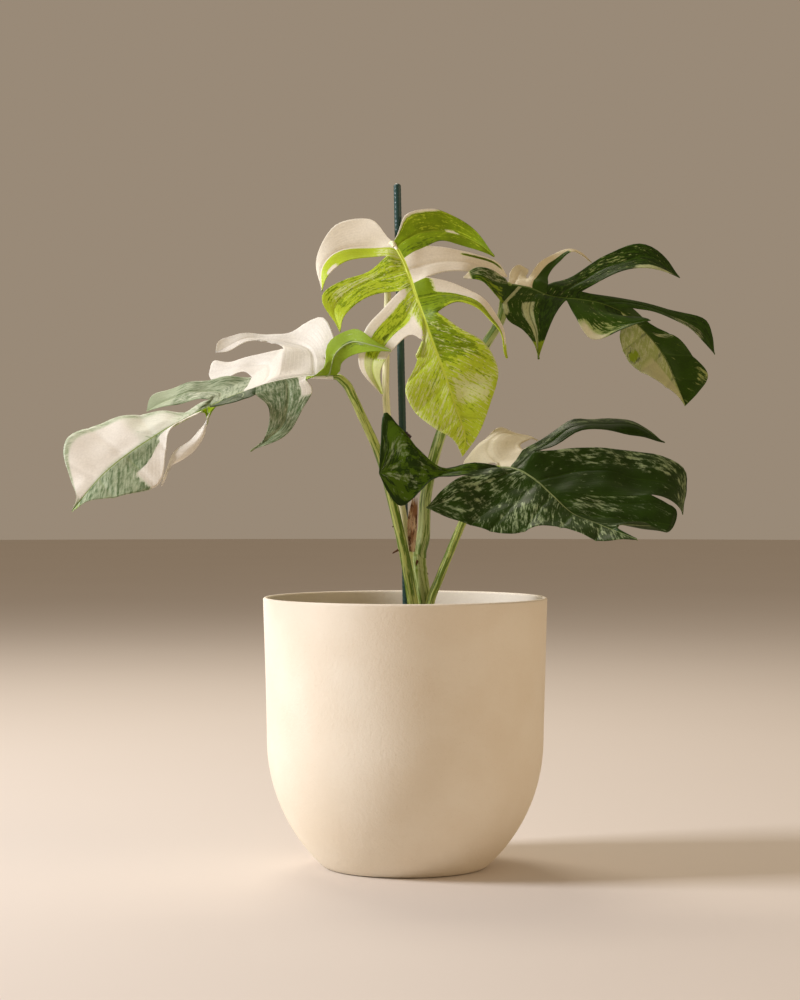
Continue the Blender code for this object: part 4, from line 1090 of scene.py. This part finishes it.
# ---------------------------------------------------------------- the object's own sizes

POT_RIM_RADIUS = 0.1054
POT_BELLY_RADIUS = 0.1026
POT_FOOT_RADIUS = 0.060
POT_BELLY_HEIGHT = 0.095
POT_WALL = 0.0035
POT_FLOOR = 0.0045
POT_FLARE = 1.2
NURSERY_WALL = 0.0010
NURSERY_CLEARANCE = 0.0065
NURSERY_FOOT_CLEARANCE = 0.003
NURSERY_LIP = 0.0020
NURSERY_LIP_HEIGHT = 0.004
MIX_BELOW_NURSERY_RIM = 0.010
MIX_WAVES = 30                  # laid over each other to make the mix lie uneven
SOCKET_DEPTH = 12

POT_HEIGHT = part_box("outer_pot")[1].z
NURSERY_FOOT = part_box("nursery_pot")[0].z
NURSERY_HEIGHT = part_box("nursery_rim")[1].z - NURSERY_FOOT
CROWN = NURSERY_FOOT + NURSERY_HEIGHT - MIX_BELOW_NURSERY_RIM

# Millimetres from the crown.
STEM_ROUTE = [(17, 0, 0), (15, 0, 36), (12, 0, 52), (10, 0, 71)]
STEM_RADIUS = 5.1
STEM_SCARS = (24, 60)
STAKE_TOP = (-6, 12, 347)
STAKE_BOTTOM = (3, 15, -70)
STAKE_RADIUS = 2.75
TIE_HEIGHT = 161
TIE_RADIUS = 0.6
SHEATH_ROUTE = [(5, -5, 73), (5, -6.5, 84), (5.5, -6.5, 97), (7.5, -5.5, 114)]
SHEATH_ROLL = 200               # degrees of a turn that the sheath wraps


def to_frame(points):
    """Plant points in millimetres from the crown, as metres in the frame."""
    return np.array(points, float) * MM + (0, 0, CROWN)


def pot_radius(height, offset=0.0):
    """Radius of the outer pot's wall at a height, or of its inside with the wall as offset."""
    if height >= POT_BELLY_HEIGHT:
        rise = (height - POT_BELLY_HEIGHT) / (POT_HEIGHT - POT_BELLY_HEIGHT)
        return POT_BELLY_RADIUS + (POT_RIM_RADIUS - POT_BELLY_RADIUS) * rise ** POT_FLARE - offset
    inset = POT_BELLY_RADIUS - POT_FOOT_RADIUS
    radius = (POT_BELLY_HEIGHT ** 2 + inset ** 2) / (2 * inset)
    run = math.sqrt((radius - offset) ** 2 - (POT_BELLY_HEIGHT - height) ** 2)
    return POT_BELLY_RADIUS - radius + run


def nursery_radius(height, offset=0.0):
    """Radius of the nursery pot's tapered wall at a height above its own foot."""
    foot = pot_radius(POT_FLOOR, POT_WALL) - NURSERY_FOOT_CLEARANCE
    rim = pot_radius(NURSERY_FOOT + NURSERY_HEIGHT, POT_WALL) - NURSERY_CLEARANCE - NURSERY_LIP
    return foot + (rim - foot) * height / NURSERY_HEIGHT - offset


# ---------------------------------------------------------------- settings


class PotSettings(bpy.types.PropertyGroup):
    """The outer pot's finish."""
    edge: FloatProperty(name="Foot Edge", description="Radius that rounds the foot's edge",
                        default=0.0015, min=0.0002, unit="LENGTH")
    unevenness: FloatProperty(name="Unevenness",
                              description="How far the thrown wall strays from round",
                              default=0.00012, min=0.0, unit="LENGTH")
    sides: IntProperty(name="Sides", description="Faces round the pot", default=192, min=48)


class MixSettings(bpy.types.PropertyGroup):
    """The potting mix's loose top."""
    bark_length: FloatProperty(name="Bark Length", description="Length of a usual chip of bark",
                               default=0.011, min=0.002, unit="LENGTH")
    grit_size: FloatProperty(name="Grit Size", description="Size of a usual white grain",
                             default=0.0035, min=0.001, unit="LENGTH")
    seed: IntProperty(name="Seed", description="Which way the chips happen to lie",
                      default=5, min=0)


class PlantSettings(bpy.types.PropertyGroup):
    """The plant's fine shape."""
    blade_thickness: FloatProperty(name="Blade Thickness", description="Thickness of a leaf blade",
                                   default=0.0005, min=0.0001, unit="LENGTH")
    vein_depth: FloatProperty(name="Vein Depth",
                              description="How deep a side vein lies in the blade",
                              default=0.00055, min=0.0, unit="LENGTH")
    groove: FloatProperty(name="Stalk Groove",
                          description="Depth of a stalk's groove, as a share of its radius",
                          default=0.28, min=0.0, max=0.6, subtype="FACTOR")


class StageSettings(bpy.types.PropertyGroup):
    """The floor and the light."""
    floor: FloatVectorProperty(name="Floor", description="Colour of the floor", size=3,
                               subtype="COLOR", default=linear("#dcd3c8"), min=0.0, max=1.0)
    key: FloatProperty(name="Key Light", description="Strength of the main light", default=62.0,
                       min=0.0, unit="POWER")
    fill: FloatProperty(name="Fill Light", description="Strength of the light from the far side",
                        default=11.0, min=0.0, unit="POWER")


# ---------------------------------------------------------------- operators


class MONSTERA_OT_pots(bpy.types.Operator):
    """Makes the outer pot and the nursery pot that stands in it"""
    bl_idname = "monstera.pots"
    bl_label = "Pots"

    def execute(self, context):
        settings = context.scene.monstera_pot
        lip = POT_WALL / 2
        edge = settings.edge
        heights = np.concatenate([[edge], POT_FLOOR + (POT_HEIGHT - lip - POT_FLOOR)
                                  * np.linspace(0, 1, 40) ** 1.3])
        outside = [(pot_radius(z), z) for z in heights]
        middle = pot_radius(POT_HEIGHT) - lip
        rim = [(middle + lip * math.cos(a), POT_HEIGHT - lip + lip * math.sin(a))
               for a in np.linspace(0, math.pi, 12)[1:-1]]
        inside = [(pot_radius(z, POT_WALL), z) for z in heights[:0:-1]]
        foot = [(0, 0), (POT_FOOT_RADIUS - edge * 1.6, 0),
                (POT_FOOT_RADIUS - edge * 0.4, edge * 0.3)]
        floor = [(pot_radius(POT_FLOOR, POT_WALL) - 0.004, POT_FLOOR), (0, POT_FLOOR)]
        pot = turned("stoneware_pot", foot + outside + rim + inside + floor, settings.sides,
                     settings.unevenness, seed=4)
        pot.data.materials.append(stoneware())
        finish_piece(pot, "stoneware", "outer_pot")

        top, wall = NURSERY_HEIGHT, NURSERY_WALL
        under_lip = top - NURSERY_LIP_HEIGHT
        rim_out, rim_in = nursery_radius(top) + NURSERY_LIP, nursery_radius(top, wall)
        profile = [(0, 0), (nursery_radius(0) - 0.002, 0), (nursery_radius(0), 0.002)]
        profile += [(nursery_radius(z), z) for z in np.linspace(0.01, under_lip - 0.0005, 8)]
        out = nursery_radius(under_lip) + NURSERY_LIP
        profile += [(out - 0.0012, under_lip - 0.0003), (out - 0.0002, under_lip),
                    (out, under_lip + 0.0006), (rim_out, top - 0.0008), (rim_out - 0.0006, top),
                    (rim_in + 0.0005, top), (rim_in, top - 0.0006)]
        profile += [(nursery_radius(z, wall), z) for z in np.linspace(top - 0.003, 0.003, 8)]
        profile += [(nursery_radius(wall, wall) - 0.002, wall), (0, wall)]
        profile = [(r, z + NURSERY_FOOT) for r, z in profile]
        nursery = turned("grower_pot", profile, 96, 0.0002, seed=9)
        nursery.data.materials.append(moulded_plastic())
        finish_piece(nursery, "pot_plastic", "nursery_pot", "nursery_rim")
        return {"FINISHED"}


class MONSTERA_OT_mix(bpy.types.Operator):
    """Makes the potting mix: crumbs of peat with bark and white grit strewn over them"""
    bl_idname = "monstera.mix"
    bl_label = "Potting Mix"

    def execute(self, context):
        settings = context.scene.monstera_mix
        peat = earthy("peat crumbs", "#1a1009", "#3a2818", 2.2)
        bark = earthy("pine bark chips", "#3a2414", "#7d5435", 3.0, 0.85)
        grit = earthy("perlite", "#b9b1a2", "#efe9dc", 1.2, 0.9)
        roots = earthy("matted roots", "#2c1c10", "#6b4c30", 1.5)
        for name, finish in (("potting_mix", peat), ("root_ball", roots)):
            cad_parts[name].data.materials.clear()
            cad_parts[name].data.materials.append(finish)
        level = NURSERY_HEIGHT - MIX_BELOW_NURSERY_RIM
        reach = nursery_radius(level - 0.003, NURSERY_WALL) - 0.0008
        draw = np.random.default_rng(11)
        rings, steps = 46, 160
        waves = [(draw.normal(size=2) / draw.uniform(0.006, 0.03), draw.uniform(0, TURN))
                 for _ in range(MIX_WAVES)]
        points = []
        for r in np.linspace(0, reach, rings):
            angle = np.linspace(0, 2 * np.pi, steps, endpoint=False)
            x, y = r * np.cos(angle), r * np.sin(angle)
            lumps = sum(np.sin(x * w[0] + y * w[1] + p) for w, p in waves) / MIX_WAVES
            z = CROWN + 0.0012 - 0.002 * (r / reach) ** 2 + 0.0035 * lumps * min(1, r / 0.01)
            points.append(np.stack([x, y, z], 1))
        mesh = bpy.data.meshes.new("mix")
        mesh.from_pydata(np.vstack(points).tolist(), [], grid_faces(rings, steps, closed=True))
        bed = new_object("peat_bed", bmesh_closed(mesh))
        upward(mesh)
        pieces = []
        layers = (("crumbs", peat, dict(Density=60000.0, Length=0.0042, Width=0.8, Thickness=0.8,
                                        Roughness=0.35, Sink=0.0002), 0.0022),
                  ("bark", bark, dict(Density=9000.0, Length=settings.bark_length, Width=0.6,
                                      Thickness=0.36, Roughness=0.3, Sink=-0.0008), 0.0062),
                  ("grit", grit, dict(Density=5000.0, Length=settings.grit_size, Width=0.9,
                                      Thickness=0.8, Roughness=0.3, Sink=-0.0014), 0.0075))
        for k, (name, finish, values, gap) in enumerate(layers):
            layer = new_object("mix_" + name, bed.data.copy())
            values = {"Smallest Gap": gap, "Seed": settings.seed + k, "Material": finish, **values}
            tree = bpy.data.node_groups.get("Strewn Chips") or scatter_tree()
            pieces.append(apply_tree(layer, tree, values))
        bed.data.materials.append(peat)
        solid = bed.modifiers.new("Depth", "SOLIDIFY")
        solid.thickness = 0.004
        solid.offset = -1
        flattened(bed)
        bed.data.shade_smooth()
        finish_piece(bed, "potting_mix")
        for piece, name in zip(pieces, ("peat_crumbs", "bark_chips", "perlite_grains")):
            piece.name = name
            finish_piece(piece, "potting_mix")
        return {"FINISHED"}


def upward(mesh):
    """Turns an open surface's faces up."""
    if sum(face.normal.z for face in mesh.polygons) < 0:
        mesh.flip_normals()


# Leaf stalks: name, green, pale and dark colours and how much of the skin is pale, the pale partly
# painted sunlight and the dark partly painted shade; then how far each one's groove is turned
# round it, in radians.
STALKS = {
    "center": ("living stalk, cream-sided", "#b9c03c", "#f6f1c8", "#a3ab34", 1.25),
    "left": ("living stalk, left", "#66860f", "#c9d573", "#345203", 0.62),
    "right": ("living stalk, right", "#6d8a28", "#bfcd82", "#38530f", 0.62),
    "low": ("living stalk, low", "#76951a", "#ccd96c", "#3c580b", 0.6)}
STALK_TILTS = {"center": 0.6, "left": 2.2, "right": 0.8, "low": 0.0}
# Short aerial roots on the stem and on the left stalk, each from one place to another.
STEM_NUBS = [((19, 1, 25), (24, 1, 23)), ((14, 4, 58), (17, 7, 57)), ((9, -4, 66), (8, -9, 64))]
STALK_NUBS = [((-3.5, -10, 75), (-9.5, -11, 73)), ((-6, -10.5, 92), (-9.5, -11, 92.5))]


class MONSTERA_OT_stems(bpy.types.Operator):
    """Makes the main stem, the leaf stalks, the aerial roots and the dry sheath"""
    bl_idname = "monstera.stems"
    bl_label = "Stems"

    def execute(self, context):
        groove = context.scene.monstera_plant.groove
        # The stem's pale and dark streaks are partly painted sunlight and painted shade.
        green = stalk_material("living stem, ringed", "#8ba03a", "#cdd88e", "#5f7a2c", 0.8)
        x, y, z = STEM_ROUTE[0]
        at = np.linspace(0, 1, 90)
        path = smooth_path([(x, y, -SOCKET_DEPTH)] + STEM_ROUTE, at)
        ring = sum(hump(path[:, 2], scar, 1.6) - 0.5 * hump(path[:, 2], scar + 2.2, 1.4)
                   for scar in STEM_SCARS)
        radius = STEM_RADIUS * (1 + 0.07 * ring) * (1 - 0.12 * ramp(at, 0.94, 1.0))
        stem = stems("stem", [to_frame(path)], [radius * MM], green, Sides=40, Unevenness=0.0009,
                     **{"Grain Size": 0.006})
        nubs = root_nubs(STEM_NUBS)
        finish_piece(joined([stem, nubs], "main_stem_skin"), "stem", "main_stem")

        finishes = {side: stalk_material(*look) for side, look in STALKS.items()}
        for side, leaf in LEAVES.items():
            route = list(leaf.stalk.route)
            x, y, z = route[0]
            route.insert(0, (x, y, -SOCKET_DEPTH if z == 0 else z - 5))
            lead, ahead = (np.array(spot, float) for spot in leaf.midrib[:2])
            ahead = (ahead - lead) * 0.12
            lead = lead + np.array(leaf.base, float)
            route += [tuple(lead + (0, 0, -1.2)), tuple(lead + ahead + (0, 0, -1.6))]
            at = np.linspace(0, 1, 110)
            path = smooth_path(route, at)
            foot, top = leaf.stalk.thickness
            away = path_length(path) * (1 - at)
            knee = 0.1 * hump(away, 14, 6)
            radius = (foot + (top - foot) * at) * (1 + knee) * (1 - 0.45 * ramp(-away, -6, 0))
            flare = 1 + 0.16 * hump(path[:, 2], route[0][2] + 12, 8) if side == "right" else 1
            stalk = stems("stalk_" + side, [to_frame(path)], [radius * flare * MM], finishes[side],
                          Sides=36, Groove=groove, Unevenness=0.0005, Tilt=STALK_TILTS[side],
                          **{"Groove Width": 0.42, "Grain Size": 0.008})
            if side == "left":
                stalk = joined([stalk, root_nubs(STALK_NUBS)], "stalk_left")
            slot = "petiole_pale" if side == "center" else "petiole_green"
            finish_piece(stalk, slot, "petiole_" + side)
        finish_piece(dry_sheath(), "dry_sheath", "dried_sheath")
        return {"FINISHED"}


def root_nubs(ends):
    """Short dry roots standing out of a stem, each from one place to another."""
    paths = [to_frame([np.array(start) + (np.array(tip) - start) * t - (0, 0, 1.2 * t * t)
                       for t in np.linspace(0, 1, 8)]) for start, tip in ends]
    thick = [np.linspace(1.2, 0.35, 8) * MM] * len(paths)
    rooty = earthy("aerial root bark", "#5a351b", "#9c7148", 1.0, 0.8)
    return stems("nubs", paths, thick, rooty, Sides=10, Unevenness=0.0006, **{"Grain Size": 0.0015})


def dry_sheath():
    """The papery sheath an older leaf left on the stem, rolled, creased and torn along its top."""
    rows, columns = 60, 36
    up = np.linspace(0, 1, rows)[:, None]
    side = np.linspace(-0.5, 0.5, columns)[None, :]
    path = smooth_path(SHEATH_ROUTE, up[:, 0])
    draw = np.random.default_rng(8)
    waves = [(draw.uniform(0.1, 0.3), draw.uniform(1, 5), draw.uniform(-6, 6),
              draw.uniform(0, TURN)) for _ in range(8)]
    wrinkle = sum(a * np.sin(side * n * TURN + up * m + p) for a, n, m, p in waves)
    reach = 1.9 + 1.7 * np.sin(np.pi * up) + wrinkle * 0.35
    angle = math.radians(-90) + math.radians(SHEATH_ROLL) * side * (1 - 0.35 * up)
    torn = 1 - 0.16 * abs(np.sin(side * 9 + 0.6)) * ramp(up, 0.6, 1)
    x, y, z = (path[:, i][:, None] for i in range(3))
    grid = np.stack([x + reach * np.cos(angle), y + reach * np.sin(angle),
                     path[0, 2] + (z - path[0, 2]) * torn], -1)
    mesh = bpy.data.meshes.new("sheath")
    mesh.from_pydata(to_frame(grid.reshape(-1, 3)).tolist(), [], grid_faces(rows, columns))
    mesh.shade_smooth()
    mesh.materials.append(dry_leaf())
    piece = new_object("papery_sheath", mesh)
    solid = piece.modifiers.new("Thickness", "SOLIDIFY")
    solid.thickness = 0.00025
    solid.offset = 0
    return flattened(piece)


class MONSTERA_OT_support(bpy.types.Operator):
    """Makes the stake and the wire tie that holds a stalk to it"""
    bl_idname = "monstera.support"
    bl_label = "Stake and Tie"

    def execute(self, context):
        low, high = np.array(STAKE_BOTTOM, float), np.array(STAKE_TOP, float)
        length = np.linalg.norm(high - low)
        at = np.linspace(0, 1, 700)
        run = at * length
        cap = np.sqrt(np.clip(1 - (1 - np.clip((length - run) / 2.2, 0, 1)) ** 2, 0.02, 1))
        tip = 0.6 + 0.4 * ramp(run, 0, 4)
        radius = STAKE_RADIUS * cap * tip * (1 + 0.02 * np.sin(run * 2 * np.pi / 3.4))
        path = low + (high - low) * at[:, None]
        stake = stems("stake", [to_frame(path)], [radius * MM], coated_stake(), Sides=20)
        finish_piece(stake, "stake_plastic", "support_stake")
        finish_piece(wire_tie(), "tie_wire", "plant_tie")
        return {"FINISHED"}


def wire_tie():
    """Coated wire, twice round the stalk and the stake and twisted together in front."""
    height = TIE_HEIGHT
    stalk = smooth_path(LEAF_CENTER.stalk.route, np.linspace(0, 1, 300))
    stalk = stalk[np.argmin(abs(stalk[:, 2] - height))][:2]
    low, high = np.array(STAKE_BOTTOM, float), np.array(STAKE_TOP, float)
    stake = (low + (high - low) * (height - low[2]) / (high[2] - low[2]))[:2]
    along = (stake - stalk) / np.linalg.norm(stake - stalk)
    side = np.array((-along[1], along[0]))
    loop = []
    for lap in range(2):
        for center, reach, turn in ((stake, STAKE_RADIUS, -math.pi / 2),
                                    (stalk, LEAF_CENTER.stalk.thickness[0], math.pi / 2)):
            for i in range(9):
                angle = turn + math.pi * i / 8
                outward = math.cos(angle) * along + math.sin(angle) * side
                spot = center + (reach + TIE_RADIUS + 0.15) * outward
                rise = height + (lap - 0.5) * 1.3 + 0.35 * math.sin(angle)
                loop.append((*spot, rise))
    start = np.array(loop[0])
    front = np.array((*-side, 0.0))
    tails = []
    for phase in (0, math.pi):
        tail = []
        for t in np.linspace(0, 1, 26):
            swing = phase + t * 11
            tail.append(start + front * (0.6 + 5.2 * t) + (0, 0, math.sin(swing) * 0.62)
                        + np.array((*along, 0)) * math.cos(swing) * 0.62 + (0, 0, -2.2 * t * t))
        tails.append(tail)
    paths = [smooth_path(loop, np.linspace(0, 1, 150))]
    paths += [smooth_path(tail, np.linspace(0, 1, 60)) for tail in tails]
    thick = [np.full(len(p), TIE_RADIUS * MM) for p in paths]
    tie = stems("tie", [to_frame(p) for p in paths], thick, coated_wire(), Sides=10)
    tie.name = "twisted_tie"
    return tie


class MONSTERA_OT_leaves(bpy.types.Operator):
    """Makes the four leaf blades with their ribs and veins"""
    bl_idname = "monstera.leaves"
    bl_label = "Leaves"

    def execute(self, context):
        for side in LEAVES:
            build_blade(side, CROWN, context.scene.monstera_plant)
        return {"FINISHED"}


FLOOR_RADIUS = 9.0
FLOOR_STEPS = 96
LIGHTS_AIM = (0, 0, 0.26)
CAMERA_PLACE = (-0.0039, -1.9, 0.2944)
CAMERA_DIP = 0.678              # degrees below level
CAMERA_LENS = 92.2              # focal length in millimetres


class MONSTERA_OT_stage(bpy.types.Operator):
    """Makes the floor, the light and the camera"""
    bl_idname = "monstera.stage"
    bl_label = "Stage"

    def execute(self, context):
        scene, settings = context.scene, context.scene.monstera_stage
        scene.view_settings.view_transform = "Standard"
        mesh = bpy.data.meshes.new("floor")
        angles = np.linspace(0, 2 * np.pi, FLOOR_STEPS, endpoint=False)
        rim = [(FLOOR_RADIUS * math.cos(a), FLOOR_RADIUS * math.sin(a), 0) for a in angles]
        mesh.from_pydata(rim, [], [tuple(range(FLOOR_STEPS))])
        floor = new_object("floor", mesh)
        board = Finish("painted board", 0.9)
        cloud = board.step(board.noise(500, detail=2.0), 0.2, 0.8, 0, 0.12)
        mesh.materials.append(board.done(board.mix(cloud, (*settings.floor, 1.0), "#cfc4b8")))

        world = bpy.data.worlds.new("studio")
        scene.world = world
        world.use_nodes = True
        backdrop = world.node_tree.nodes["Background"]
        backdrop.inputs["Color"].default_value = color("#e2ccb2")
        backdrop.inputs["Strength"].default_value = 0.42
        for name, place, size, power, tint in (
                ("key", (-2.1, -0.34, 1.28), 0.7, settings.key, "#f7f7ff"),
                ("fill", (2.1, -0.9, 0.9), 1.6, settings.fill, "#ffe2c2"),
                ("back", (-0.5, 1.4, 2.0), 1.0, settings.fill * 1.8, "#fff4e4")):
            lamp = bpy.data.lights.new(name, "AREA")
            lamp.energy, lamp.size, lamp.color = power, size, linear(tint)
            holder = new_object(name, lamp)
            holder.location = place
            aim = Vector(LIGHTS_AIM) - Vector(place)
            holder.rotation_euler = aim.to_track_quat("-Z", "Y").to_euler()

        lens = bpy.data.cameras.new("camera")
        lens.lens, lens.sensor_width = CAMERA_LENS, 36.0
        camera = new_object("camera", lens)
        camera.location = CAMERA_PLACE
        camera.rotation_euler = (math.radians(90 - CAMERA_DIP), 0, 0)
        scene.camera = camera
        return {"FINISHED"}


class MONSTERA_PT_panel(bpy.types.Panel):
    """The steps that make the plant, with their settings"""
    bl_idname = "MONSTERA_PT_panel"
    bl_label = "Potted Monstera"
    bl_space_type = "VIEW_3D"
    bl_region_type = "UI"
    bl_category = "Monstera"

    def draw(self, context):
        for step_class, group in STEPS:
            box = self.layout.box()
            box.operator(step_class.bl_idname)
            if group:
                held = getattr(context.scene, group)
                for field in held.__annotations__:
                    box.prop(held, field)


GROUPS = {"monstera_pot": PotSettings, "monstera_mix": MixSettings, "monstera_plant": PlantSettings,
          "monstera_stage": StageSettings}
STEPS = ((MONSTERA_OT_stage, "monstera_stage"), (MONSTERA_OT_pots, "monstera_pot"),
         (MONSTERA_OT_mix, "monstera_mix"), (MONSTERA_OT_support, None),
         (MONSTERA_OT_stems, "monstera_plant"), (MONSTERA_OT_leaves, None))
CLASSES = (*GROUPS.values(), *(step_class for step_class, _ in STEPS), MONSTERA_PT_panel)


def register():
    """Makes the classes known and gives the scene its settings."""
    for item in CLASSES:
        bpy.utils.register_class(item)
    for name, group in GROUPS.items():
        setattr(bpy.types.Scene, name, PointerProperty(type=group))


def unregister():
    """Takes the settings and the classes away."""
    for name in GROUPS:
        delattr(bpy.types.Scene, name)
    for item in reversed(CLASSES):
        bpy.utils.unregister_class(item)


def main():
    """Makes the whole scene."""
    register()
    for step_class, _ in STEPS:
        group, name = step_class.bl_idname.split(".")
        getattr(getattr(bpy.ops, group), name)()


if __name__ == "__main__":
    main()
